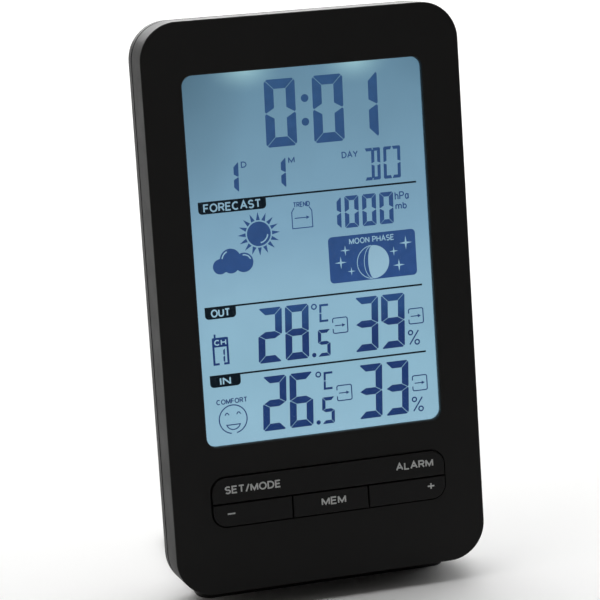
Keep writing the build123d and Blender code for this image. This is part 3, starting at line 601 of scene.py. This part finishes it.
def digit(drawing, figure, x, top, w, h, t, lean=0.03, gap=0.2):
    """A seven-segment figure: x is its lower left corner, top its upper edge."""
    shapes = segment_shapes(w, h, t)
    for name in DIGITS[figure]:
        outline = inset(shapes[name], gap / 2)
        drawing.fill([(x + px + (h - py) * lean, top - py) for px, py in outline])


def bowl(x, y, reach, start, end, squash=1.0):
    """A letter's round stretch."""
    return arc(x, y, reach, start, end, 14, squash)


def hump(x):
    """One arch of a small m and the leg on its right, from its stem at x."""
    return [(x + 0.01, 0.42), *bowl(x + 0.19, 0.5, 0.19, 160, 10), (x + 0.38, 0.46), (x + 0.38, 0)]


# Letters as pen strokes: capitals are 1 high. Each has its width and its strokes' points.
H_ARCH = [(0.01, 0.42), *bowl(0.21, 0.48, 0.21, 160, 10), (0.42, 0.45), (0.42, 0)]
P_BOWL = [(0, 1), (0.33, 1), *bowl(0.33, 0.74, 0.26, 80, -80), (0.33, 0.48), (0, 0.48)]
LETTERS = {
    "A": (0.74, [[(0, 0), (0.37, 1), (0.74, 0)], [(0.13, 0.34), (0.61, 0.34)]]),
    "C": (0.74, [bowl(0.38, 0.5, 0.5, 48, 312, 0.76)]),
    "D": (0.68, [[(0, 0), (0, 1), (0.24, 1), *bowl(0.24, 0.5, 0.5, 80, -80, 0.88), (0.24, 0), (0, 0)]]),
    "E": (0.56, [[(0.56, 1), (0, 1), (0, 0), (0.56, 0)], [(0, 0.52), (0.5, 0.52)]]),
    "F": (0.52, [[(0.52, 1), (0, 1), (0, 0)], [(0, 0.5), (0.46, 0.5)]]),
    "H": (0.66, [[(0, 0), (0, 1)], [(0.66, 0), (0.66, 1)], [(0, 0.52), (0.66, 0.52)]]),
    "I": (0.0, [[(0, 0), (0, 1)]]),
    "L": (0.5, [[(0, 1), (0, 0), (0.5, 0)]]),
    "M": (0.8, [[(0, 0), (0, 1)], [(0, 0.98), (0.4, 0.1), (0.8, 0.98)], [(0.8, 1), (0.8, 0)]]),
    "N": (0.66, [[(0, 0), (0, 1)], [(0, 0.97), (0.66, 0.03)], [(0.66, 0), (0.66, 1)]]),
    "O": (0.8, [bowl(0.4, 0.5, 0.5, 0, 180, 0.8) + bowl(0.4, 0.5, 0.5, 180, 360, 0.8)[1:]]),
    "P": (0.58, [[(0, 0), *P_BOWL]]),
    "R": (0.6, [[(0, 0), *P_BOWL], [(0.32, 0.48), (0.6, 0)]]),
    "S": (0.56, [bowl(0.28, 0.75, 0.25, 30, 250, 1.1) + bowl(0.28, 0.255, 0.255, 70, -150, 1.1)]),
    "T": (0.62, [[(0, 1), (0.62, 1)], [(0.31, 1), (0.31, 0)]]),
    "U": (0.64, [[(0, 1), (0, 0.32), *bowl(0.32, 0.32, 0.32, 190, 350), (0.64, 0.32), (0.64, 1)]]),
    "Y": (0.68, [[(0, 1), (0.34, 0.45), (0.68, 1)], [(0.34, 0.47), (0.34, 0)]]),
    "a": (0.44, [bowl(0.21, 0.34, 0.34, 0, 360, 0.62), [(0.43, 0.7), (0.43, 0)]]),
    "b": (0.44, [[(0, 0), (0, 1)], bowl(0.22, 0.34, 0.34, 0, 360, 0.62)]),
    "h": (0.42, [[(0, 0), (0, 1)], H_ARCH]),
    "m": (0.76, [[(0, 0), (0, 0.7)], hump(0), hump(0.38)]),
    "/": (0.36, [[(0, -0.06), (0.36, 1.06)]]),
    "+": (0.7, [[(0, 0.5), (0.7, 0.5)], [(0.35, 0.85), (0.35, 0.15)]]),
    "-": (0.6, [[(0, 0.5), (0.6, 0.5)]]),
    " ": (0.2, []),
}
LETTER_GAP = 0.27


def write(drawing, text, x, y, width, height, weight, lean=0.0):
    """Lettering whose middle is at x, y and whose capitals are this high; weight is the pen's width."""
    natural = sum(LETTERS[letter][0] for letter in text) + LETTER_GAP * (len(text) - 1)
    across, tall = (width - weight) / natural, height - weight
    pen = x - (width - weight) / 2
    for letter in text:
        letter_width, strokes = LETTERS[letter]
        for stroke in strokes:
            rises = [(px * across, (py - 0.5) * tall) for px, py in stroke]
            points = [(pen + dx + dy * lean, y + dy) for dx, dy in rises]
            closed = math.dist(points[0], points[-1]) < 0.001
            drawing.stroke(points[:-1] if closed else points, weight, closed)
        pen += (letter_width + LETTER_GAP) * across


# ------------------------------------------------------------------ materials
lcd_segment = liquid_crystal()
lcd_pale = lit_ink()
lcd_black = mask_ink()
label_ink = printed("label_ink", "c8cac8")

face_plastic = moulded("face_plastic", "100f0e", 0.52, specular=0.2)
rear_plastic = moulded("rear_plastic", "131211", 0.48, grain=0.3, relief=0.03, specular=0.22)
# The stand's plastic is painted lighter than the face's: painted fill light that cancels the shade the stand
# sits in.
stand_plastic = moulded("stand_plastic", "181715", 0.44, grain=0.3, relief=0.03, specular=0.34)
# The keys' edges are set paler than the default: a painted highlight along the key rims, on top of their
# wear.
key_plastic = moulded("key_plastic", "0e0d0d", 0.5, grain=0.14, relief=0.012, edge_wear_and_highlight=0.5, specular=0.2)
window_clear = clear_window()
lcd_lit = lit_film()
glass_sheet = film("glass_sheet", "a9bcc4", 0.12)
tinted_film = film("tinted_film", "54646c", 0.3)
diffuser_film = film("diffuser_film", "e4ecef", 0.55)
guide_plastic = film("guide_plastic", "b9dcea", 0.15)
reflector_film = film("reflector_film", "f2f2ee", 0.35)
frame_plastic = moulded("frame_plastic", "d8d8d2", 0.5, grain=0.3, relief=0.02)
board_green = circuit("board_green")
epoxy_black = moulded("epoxy_black", "0a0a0b", 0.16, grain=1.2, relief=0.05, edge_wear_and_highlight=0.05)
chip_black = moulded("chip_black", "151517", 0.5, grain=0.12, relief=0.01)
plated_can = metal("plated_can", "c4c6c8", 0.24, (1, 6, 6))
spring_metal = metal("spring_metal", "cfd0d0", 0.2)
contact_metal = metal("contact_metal", "c6c8c9", 0.26, (1, 1, 8))
screw_metal = metal("screw_metal", "8b8d90", 0.3)
copper_wire = metal("copper_wire", "c47a42", 0.25)
led_package = film("led_package", "f4f4e6", 0.3)
silicone = rubber("silicone", "4a4c4e")
carbon_rubber = rubber("carbon_rubber", "0b0b0c")
zebra = striped("zebra", "d8c6cc", "2a2326", 0.18)
red_wire = moulded("red_wire", "8e1712", 0.38, grain=0.6, relief=0.02)
ribbon_cable = striped("ribbon_cable", "cfc9b8", "a79f8a", 0.6)
sleeve = cell_jacket()

LOOKS = {
    "stand": stand_plastic,
    "front_cover": face_plastic,
    "rear_cover": rear_plastic,
    "battery_door": rear_plastic,
    "display_window": window_clear,
    "front_polarizer": lcd_lit,
    "lcd_front_glass": glass_sheet,
    "lcd_rear_glass": glass_sheet,
    "rear_polarizer": tinted_film,
    "diffuser_sheet": diffuser_film,
    "light_guide": guide_plastic,
    "reflector_sheet": reflector_film,
    "contact_strip": zebra,
    "lcd_frame": frame_plastic,
    "backlight_board": board_green,
    "backlight_leds": led_package,
    "main_board": board_green,
    "controller_chip": epoxy_black,
    "clock_crystals": plated_can,
    "board_capacitors": plated_can,
    "receiver_board": board_green,
    "receiver_chip": chip_black,
    "receiver_coils": copper_wire,
    "pressure_sensor": plated_can,
    "sensor_board": board_green,
    "humidity_sensor": chip_black,
    "temperature_sensor": epoxy_black,
    "buzzer": chip_black,
    "antenna_wire": red_wire,
    "mode_alarm_key": key_plastic,
    "minus_key": key_plastic,
    "mem_key": key_plastic,
    "plus_key": key_plastic,
    "mode_alarm_pills": carbon_rubber,
    "minus_pill": carbon_rubber,
    "mem_pill": carbon_rubber,
    "plus_pill": carbon_rubber,
    "key_mat": silicone,
    "key_board": board_green,
    "key_ribbon": ribbon_cable,
    "battery_upper": sleeve,
    "battery_lower": sleeve,
    "battery_springs": spring_metal,
    "battery_contacts": contact_metal,
    "battery_leads": red_wire,
    "housing_screws": screw_metal,
    "frame_screws": screw_metal,
    "key_board_screws": screw_metal,
    "board_screws": screw_metal,
}
for node, material in LOOKS.items():
    data = frame["nodes"][node].data
    data.materials.clear()
    data.materials.append(material)

# ------------------------------------------------------------------ the display's marks
INK_Z = LCD_Z + 0.005                  # marks lie just in front of the LCD's film
OVER_Z = INK_Z + INK_T + 0.01          # marks on top of other marks
LINE_W = 0.5
FINE = 0.31                            # the thinnest printed lines
RULE_END = 32.3                        # how far right the dividing lines run


def time_row():
    """Hours and minutes in tall figures, with the colon."""
    row = Drawing(INK_Z)
    for figure, x in (("0", -11.05), ("0", 2.9), ("1", 13.05)):
        digit(row, figure, x, -3.1, 9.1, 19.0, 2.85, lean=0.02, gap=0.16)
    for x, y in ((0.95, -9.15), (0.75, -15.75)):
        row.disc(x, y, 1.1)
    row.piece("time_digits", lcd_segment)


def letter_segments(drawing, bars, x, top, w, h, t, lean, gap=0.16):
    """A dashed segment letter. Bars name half strokes: T top, B bottom, L left, M middle, R right."""
    m = h / 2
    middle = w * 0.43
    lines = {
        "T": [((gap, 0), (w / 2 - gap / 2, 0)), ((w / 2 + gap / 2, 0), (w - gap, 0))],
        "B": [((gap, h), (w / 2 - gap / 2, h)), ((w / 2 + gap / 2, h), (w - gap, h))],
        "L": [((0, gap), (0, m - gap)), ((0, m + gap), (0, h - gap))],
        "M": [((middle, gap * 2), (middle, m - gap)), ((middle, m + gap), (middle, h - gap * 2))],
        "R": [((w, gap), (w, m - gap)), ((w, m + gap), (w, h - gap))],
    }
    for bar in bars:
        for (x0, y0), (x1, y1) in lines[bar]:
            if y0 == y1:
                inward = t if y0 == 0 else -t
                edge = [(x0, y0), (x1, y0), (x1 - t * 0.4, y0 + inward), (x0 + t * 0.4, y0 + inward)]
            else:
                side = -t if x0 == w else t
                edge = [(x0, y0), (x0, y1), (x0 + side, y1 - t * 0.4), (x0 + side, y0 + t * 0.4)]
            drawing.fill([(x + px + (h - py) * lean, top - py) for px, py in edge])


def date_row():
    """Day, month and weekday."""
    row = Drawing(INK_Z)
    for x in (-23.65, -9.95):
        digit(row, "1", x, -24.95, 4.0, 8.7, 1.5, lean=0.03, gap=0.1)
    letter_segments(row, "TBMR", 17.2, -24.8, 4.65, 9.1, 0.9, 0.03)
    letter_segments(row, "TBLR", 22.8, -24.8, 5.05, 9.1, 0.9, 0.03)
    write(row, "D", -17.9, -26.0, 1.65, 1.75, FINE)
    write(row, "M", -4.05, -26.0, 1.9, 1.75, FINE)
    write(row, "DAY", 13.1, -26.05, 4.8, 1.85, FINE)
    row.piece("date_row", lcd_segment)


def tag(name, text, x0, x1, y, letter_height, letter_width):
    """A black tab that hangs from a dividing line, with pale letters."""
    depth = 3.45
    tab = Drawing(INK_Z)
    tab.fill(rounded(x0, y - depth, x1, y, 1.1, "ab"))
    tab.piece(name + "_tag", lcd_black)
    letters = Drawing(OVER_Z)
    write(letters, text, (x0 + x1) / 2, y - depth / 2 - 0.1, letter_width, letter_height, 0.42)
    letters.piece(name + "_word", lcd_pale)


def dividers():
    """The three ruled lines and their tabs."""
    rules = Drawing(INK_Z)
    for y, x in ((-35.33, -12.4), (-64.85, -23.4), (-84.2, -23.4)):
        rules.fill([(x, y - LINE_W), (RULE_END, y - LINE_W), (RULE_END, y), (x, y)])
    rules.piece("divider_lines", lcd_black)
    tag("forecast", "FORECAST", -31.8, -12.2, -35.33, 2.4, 16.7)
    tag("outdoor", "OUT", -32.0, -23.0, -64.85, 2.25, 5.6)
    tag("indoor", "IN", -31.9, -23.0, -84.2, 2.25, 3.2)


def arrow(drawing, x, y, length, weight=0.27, head=0.5):
    """A thin arrow that points right; x, y is its middle."""
    tip = x + length / 2
    drawing.stroke([(x - length / 2, y), (tip - head * 1.4, y)], weight)
    drawing.fill([(tip - head * 1.9, y - head), (tip, y), (tip - head * 1.9, y + head)])


def sun(x, y):
    """A full disc in a thin pale ring, with sixteen pointed rays."""
    art = Drawing(INK_Z)
    art.disc(x, y, 3.45, 48)
    rays, foot_reach, tip_reach, half = 16, 3.9, 6.15, 0.145
    for i in range(rays):
        turn = 2 * math.pi * i / rays
        corners = ((foot_reach, turn - half), (tip_reach, turn), (foot_reach, turn + half))
        art.fill([(x + reach * math.cos(t), y + reach * math.sin(t)) for reach, t in corners])
    art.piece("sun_icon", lcd_segment)
    shine = Drawing(OVER_Z)
    shine.stroke(arc(x, y, 2.55, -82, -8, 14), 0.36)
    shine.piece("sun_shine", lcd_pale)


def cloud(x, y):
    """A cloud of overlapping discs, drawn as one outline, with two pale highlights."""
    crown, right_lobe = (-0.75, 0.5, 3.0), (3.1, -0.75, 2.75)
    lobes = [crown, right_lobe, (-3.75, -1.3, 2.15), (-0.6, -1.2, 2.3)]
    outline = []
    steps = 120
    for i in range(steps):
        turn = 2 * math.pi * i / steps
        dx, dy = math.cos(turn), math.sin(turn)
        reach = 0.5
        for lx, ly, r in lobes:
            along = lx * dx + ly * dy
            inside = along * along - (lx * lx + ly * ly - r * r)
            if inside > 0:
                reach = max(reach, along + math.sqrt(inside))
        outline.append((x + reach * dx, y + reach * dy))
    art = Drawing(INK_Z)
    art.fill(outline)
    art.piece("cloud_icon", lcd_segment)
    shine = Drawing(OVER_Z)
    for (lx, ly, r), start, end in ((crown, 112, 172), (right_lobe, 22, 96)):
        shine.stroke(arc(x + lx, y + ly, r - 0.62, start, end, 12), 0.34)
    shine.piece("cloud_shine", lcd_pale)


def moon_panel(x0, y0, x1, y1):
    """A dark panel with a gibbous moon, thin phase lines and stars."""
    panel = Drawing(INK_Z)
    panel.fill(rounded(x0, y0, x1, y1, 1.2))
    panel.piece("moon_panel", lcd_segment)
    art = Drawing(OVER_Z)
    write(art, "MOON PHASE", 18.0, -50.6, 13.4, 1.7, 0.27)
    mx, my, r = 18.1, -57.07, 4.75
    art.fill(arc(mx, my, r, 90, 270, 24, squash=0.31) + arc(mx, my, r, -90, 90, 30)[1:-1])
    art.stroke(arc(mx, my, r, 96, 264, 30), 0.2)
    art.stroke(arc(mx, my, r, 98, 262, 26, squash=0.56), 0.16)
    stars = (
        (10.0, -53.0, 1.5), (8.5, -56.35, 1.75), (11.5, -59.1, 1.2),
        (24.4, -54.65, 1.3), (28.1, -52.6, 1.95), (25.75, -58.75, 1.75),
    )
    for x, y, size in stars:
        points = []
        for i in range(8):
            turn = math.pi * i / 4
            reach = size if i % 2 == 0 else 0.2 * size
            points.append((x + reach * math.cos(turn), y + reach * math.sin(turn)))
        art.fill(points)
    art.piece("moon_and_stars", lcd_pale)


def forecast_row():
    """Sun and cloud, pressure trend, air pressure, moon phase."""
    sun(-14.88, -45.72)
    cloud(-22.85, -52.5)
    row = Drawing(INK_Z)
    x0, x1, y0, shoulder, neck = -4.95, 0.95, -45.3, -40.7, -39.5
    slope = 0.75
    jar = [(x0 + slope, neck), (x0, shoulder), (x0, y0), (x1, y0), (x1, shoulder), (x1 - slope, neck)]
    row.stroke(jar, 0.27)
    arrow(row, (x0 + x1) / 2, -42.45, 4.4)
    write(row, "TREND", -1.95, -38.65, 4.95, 1.5, 0.27)
    for figure, x in (("1", 5.2), ("0", 10.4), ("0", 15.6), ("0", 20.75)):
        digit(row, figure, x, -37.6, 4.25, 9.15, 1.4, lean=0.03, gap=0.12)
    write(row, "hPa", 27.75, -39.05, 4.25, 2.35, 0.34)
    write(row, "mb", 27.4, -41.9, 3.45, 2.05, 0.34)
    row.piece("forecast_row", lcd_segment)
    moon_panel(5.1, -62.05, 31.05, -48.85)


def trend_box(drawing, x, y, size, corner=0.5, gap=1.3):
    """A small rounded box, open in the middle of its left side, with an arrow in it."""
    x1, y1 = x + size, y + size
    left, right, bottom, top = x + corner, x1 - corner, y + corner, y1 - corner
    outline = [(x, y + gap)]
    for cx, cy, start in ((left, bottom, 180), (right, bottom, 270), (right, top, 0), (left, top, 90)):
        outline += arc(cx, cy, corner, start, start + 90, 5)
    outline.append((x, y1 - gap))
    drawing.stroke(outline, 0.3)
    arrow(drawing, x + size / 2 - 0.05, y + size / 2, 3.1)


def celsius(drawing, x, top, lean, w=2.6, h=5.1, pen=0.62):
    """The unit's C: a bar at top and bottom and a left side in two pieces."""
    half = pen / 2
    bars = [
        [(half, h / 2 - 0.12), (half, half), (w, half)],
        [(half, h / 2 + 0.12), (half, h - half), (w, h - half)],
    ]
    for bar in bars:
        drawing.stroke([(x + px + (h - py) * lean, top - py) for px, py in bar], pen)


def reading(name, whole, tenth, humidity, top):
    """Temperature with its tenth and unit, humidity, and the two trend boxes of one row."""
    row = Drawing(INK_Z)
    height, lean = 15.7, 0.05
    for figure, x in zip(whole, (-17.5, -9.6)):
        digit(row, figure, x, top, 7.1, height, 2.15, lean, gap=0.15)
    for figure, x in zip(humidity, (11.0, 18.95)):
        digit(row, figure, x, top, 7.2, height, 2.15, lean, gap=0.15)
    digit(row, tenth, 0.0, top - 7.95, 3.85, 7.75, 1.1, lean, gap=0.12)
    row.disc(-1.05, top - height + 0.7, 0.64, 20)
    row.ring(-0.25, top - 1.25, 0.68, 0.38, 28)
    celsius(row, 1.1, top - 0.75, lean)
    for x, y in ((5.0, top - 9.5), (27.75, top - 9.35)):
        trend_box(row, x, y, 4.35)
    row.ring(28.0, top - 11.85, 0.62, 0.38, 28)
    row.ring(29.85, top - 14.7, 0.66, 0.38, 28)
    row.stroke([(27.6, top - 15.25), (30.4, top - 11.35)], 0.38)
    row.piece(name, lcd_segment)


def sender_icon():
    """The outdoor sender's symbol: a box with an aerial, CH, and its channel."""
    art = Drawing(INK_Z)
    x0, x1, y0, y1, head = -30.55, -25.85, -81.4, -73.6, 2.7
    pen = 0.6
    art.fill(rounded(x0, y1 - head, x1, y1, 0.4, "cd"))
    art.fill([(x0 + 0.6, y1 - 0.1), (x0 + 1.15, y1 - 0.1), (x0 + 1.15, y1 + 1.0), (x0 + 0.6, y1 + 1.0)])
    for side, foot in ((x0 + pen / 2, x0 + 1.8), (x1 - pen / 2, x1 - 1.6)):
        art.stroke([(side, y1 - head), (side, y0 + pen / 2), (foot, y0 + pen / 2)], pen)
    digit(art, "1", x0 + 1.4, y1 - head - 0.4, 2.1, 4.2, 0.58, 0.03, gap=0.1)
    art.piece("sender_icon", lcd_segment)
    letters = Drawing(OVER_Z)
    write(letters, "CH", (x0 + x1) / 2, y1 - head / 2 - 0.05, 3.5, 1.65, 0.33)
    letters.piece("sender_word", lcd_pale)


def comfort_icon():
    """A round smiling face under its word."""
    art = Drawing(INK_Z)
    x, y, r = -25.97, -97.15, 4.05
    art.stroke(arc(x, y, r, -78, 260, 48), 0.31)
    for side in (-1, 1):
        ex = x + side * 1.7
        lid = [(ex - 0.6, y + 1.25), (ex - 0.2, y + 1.85), (ex + 0.2, y + 1.85), (ex + 0.6, y + 1.25)]
        art.stroke(lid, 0.27)
    mouth = arc(x, y - 0.85, 2.1, 200, 340, 16)
    art.stroke(mouth, 0.29, closed=True)
    write(art, "COMFORT", -26.0, -91.95, 9.05, 1.5, 0.26)
    art.piece("comfort_icon", lcd_segment)


time_row()
date_row()
dividers()
forecast_row()
reading("outdoor_reading", "28", "5", "39", -66.75)
reading("indoor_reading", "26", "5", "33", -86.2)
sender_icon()
comfort_icon()

# ------------------------------------------------------------------ key labels


LABEL_T = 0.02                          # thickness of the labels' ink
LABEL_PEN = 0.42                        # width of their strokes


def key_label(name, text, x, width, height, key, lift=0.0):
    """Ink on top of a key's cap, at the middle of its height or a little above it."""
    cap_front = (cover_low.z - face_box(key)[0].z) / MM
    row_low, row_high = face_box("mem_key")
    label = Drawing(cap_front + 0.002, LABEL_T)
    if key == "mode_alarm_key":
        bottom, top = row_high.y, row_high.y + (row_high.y - row_low.y)
    else:
        bottom, top = row_low.y, row_high.y
    middle = ((bottom + top) / 2 - window_top) / MM
    write(label, text, x, middle + lift, width, height, LABEL_PEN)
    label.piece(name, label_ink, key, "key_plastic")


key_label("set_mode_label", "SET/MODE", -22.65, 16.4, 2.25, "mode_alarm_key", 0.53)
key_label("alarm_label", "ALARM", 25.55, 11.3, 2.25, "mode_alarm_key", 0.7)
key_label("mem_label", "MEM", 0.8, 7.3, 2.25, "mem_key", 0.8)
key_label("plus_label", "+", 30.15, 2.4, 2.7, "plus_key", 1.1)
key_label("minus_label", "-", -29.4, 2.6, 2.2, "minus_key", 0.93)

# ------------------------------------------------------------------ studio
CENTRE = (CAD_LOW + CAD_HIGH) / 2


def floor():
    """A pale matte sweep that rises behind the object."""
    bm = bmesh.new()
    front, bend_at, bend, top, half_width = -3.0, 0.9, 0.8, 3.0, 3.5
    profile = [(front, 0.0), (bend_at, 0.0)]
    for i in range(1, 18):
        turn = math.radians(5 * i)
        profile.append((bend_at + bend * math.sin(turn), bend - bend * math.cos(turn)))
    profile += [(bend_at + bend, bend), (bend_at + bend, top)]
    rails = [[bm.verts.new((x, y, z)) for y, z in profile] for x in (-half_width, half_width)]
    for i in range(len(profile) - 1):
        bm.faces.new((rails[0][i], rails[1][i], rails[1][i + 1], rails[0][i + 1]))
    bmesh.ops.recalc_face_normals(bm, faces=bm.faces)
    data = bpy.data.meshes.new("floor")
    bm.to_mesh(data)
    bm.free()
    for face in data.polygons:
        face.use_smooth = True
    look = Look("floor_paper", Specular_IOR_Level=0.1)
    look.set("Base Color", look.ramp(look.noise(300.0), [(0.3, srgb("f4f4f3")), (0.7, srgb("fafafa"))]))
    look.set("Roughness", look.spread(look.noise(40.0), 0.75, 0.9))
    data.materials.append(look.material)
    sweep = bpy.data.objects.new("floor", data)
    bpy.context.scene.collection.objects.link(sweep)


def area_light(name, place, target, width, height, power, colour=(1, 1, 1), gloss_only=False):
    """A softbox at place that faces target; a gloss_only one shows in reflections and lights nothing."""
    data = bpy.data.lights.new(name, "AREA")
    data.shape = "RECTANGLE"
    data.size = width
    data.size_y = height
    data.energy = power
    data.color = colour
    light = bpy.data.objects.new(name, data)
    light.location = place
    light.rotation_euler = (Vector(target) - Vector(place)).to_track_quat("-Z", "Y").to_euler()
    light.visible_camera = False
    light.visible_diffuse = not gloss_only
    bpy.context.scene.collection.objects.link(light)


def studio_world():
    """Bright pale air behind and above; dimmer in front, so that the black face stays black."""
    world = bpy.data.worlds.new("studio")
    world.use_nodes = True
    bpy.context.scene.world = world
    nodes, links = world.node_tree.nodes, world.node_tree.links
    background = nodes["Background"]
    where = nodes.new("ShaderNodeTexCoord")
    split = nodes.new("ShaderNodeSeparateXYZ")
    links.new(where.outputs["Generated"], split.inputs[0])
    fade = nodes.new("ShaderNodeMapRange")
    fade.inputs["From Min"].default_value = -0.9
    fade.inputs["From Max"].default_value = 0.5
    fade.inputs["To Min"].default_value = 0.12
    fade.inputs["To Max"].default_value = 0.85
    links.new(split.outputs["Y"], fade.inputs["Value"])
    pale = nodes.new("ShaderNodeBackground")
    pale.inputs["Color"].default_value = (0.97, 0.97, 0.97, 1)
    path = nodes.new("ShaderNodeLightPath")
    mixed = nodes.new("ShaderNodeMixShader")
    links.new(fade.outputs[0], background.inputs["Strength"])
    links.new(path.outputs["Is Camera Ray"], mixed.inputs[0])
    links.new(background.outputs[0], mixed.inputs[1])
    links.new(pale.outputs[0], mixed.inputs[2])
    links.new(mixed.outputs[0], nodes["World Output"].inputs["Surface"])


def camera():
    """A long lens, to the left of and above the display."""
    azimuth, elevation, distance = math.radians(-17.55), math.radians(20.98), 0.7477
    aim = CENTRE + Vector((-0.0011, -0.00006, -0.00155))
    back = Vector((math.sin(azimuth) * math.cos(elevation), -math.cos(azimuth) * math.cos(elevation),
                   math.sin(elevation)))
    data = bpy.data.cameras.new("camera")
    data.lens = 157.3
    data.sensor_width = 36.0
    data.clip_start, data.clip_end = 0.01, 20.0
    viewer = bpy.data.objects.new("camera", data)
    viewer.location = aim + back * distance
    viewer.rotation_euler = (-back).to_track_quat("-Z", "Y").to_euler()
    bpy.context.scene.collection.objects.link(viewer)
    bpy.context.scene.camera = viewer


floor()
studio_world()
camera()
WARM = (1.0, 0.965, 0.92)
WHITE = (1.0, 1.0, 1.0)
area_light("left_panel", (-0.9, -0.1, 0.5), (0, 0, 0.08), 0.8, 1.0, 1.5, WARM)
area_light("top_back", (0.1, 0.8, 1.1), (0, 0, 0.08), 1.4, 0.8, 9.0)
area_light("overhead", (0, 0.45, 1.7), (0, 0.45, 0), 2.6, 1.2, 22.0)
area_light("right_fill", (0.9, 0.3, 0.5), (0, 0, 0.08), 0.6, 0.8, 4.0)
area_light("back_strip", (0.33, 1.1, 0.3), (0, 0, 0.16), 1.4, 0.7, 14.0, WHITE, gloss_only=True)
area_light("front_soft", (0.05, -0.85, 0.62), (0, 0, 0.16), 0.7, 0.4, 1.4, WHITE, gloss_only=True)
bpy.context.scene.view_settings.view_transform = "Standard"
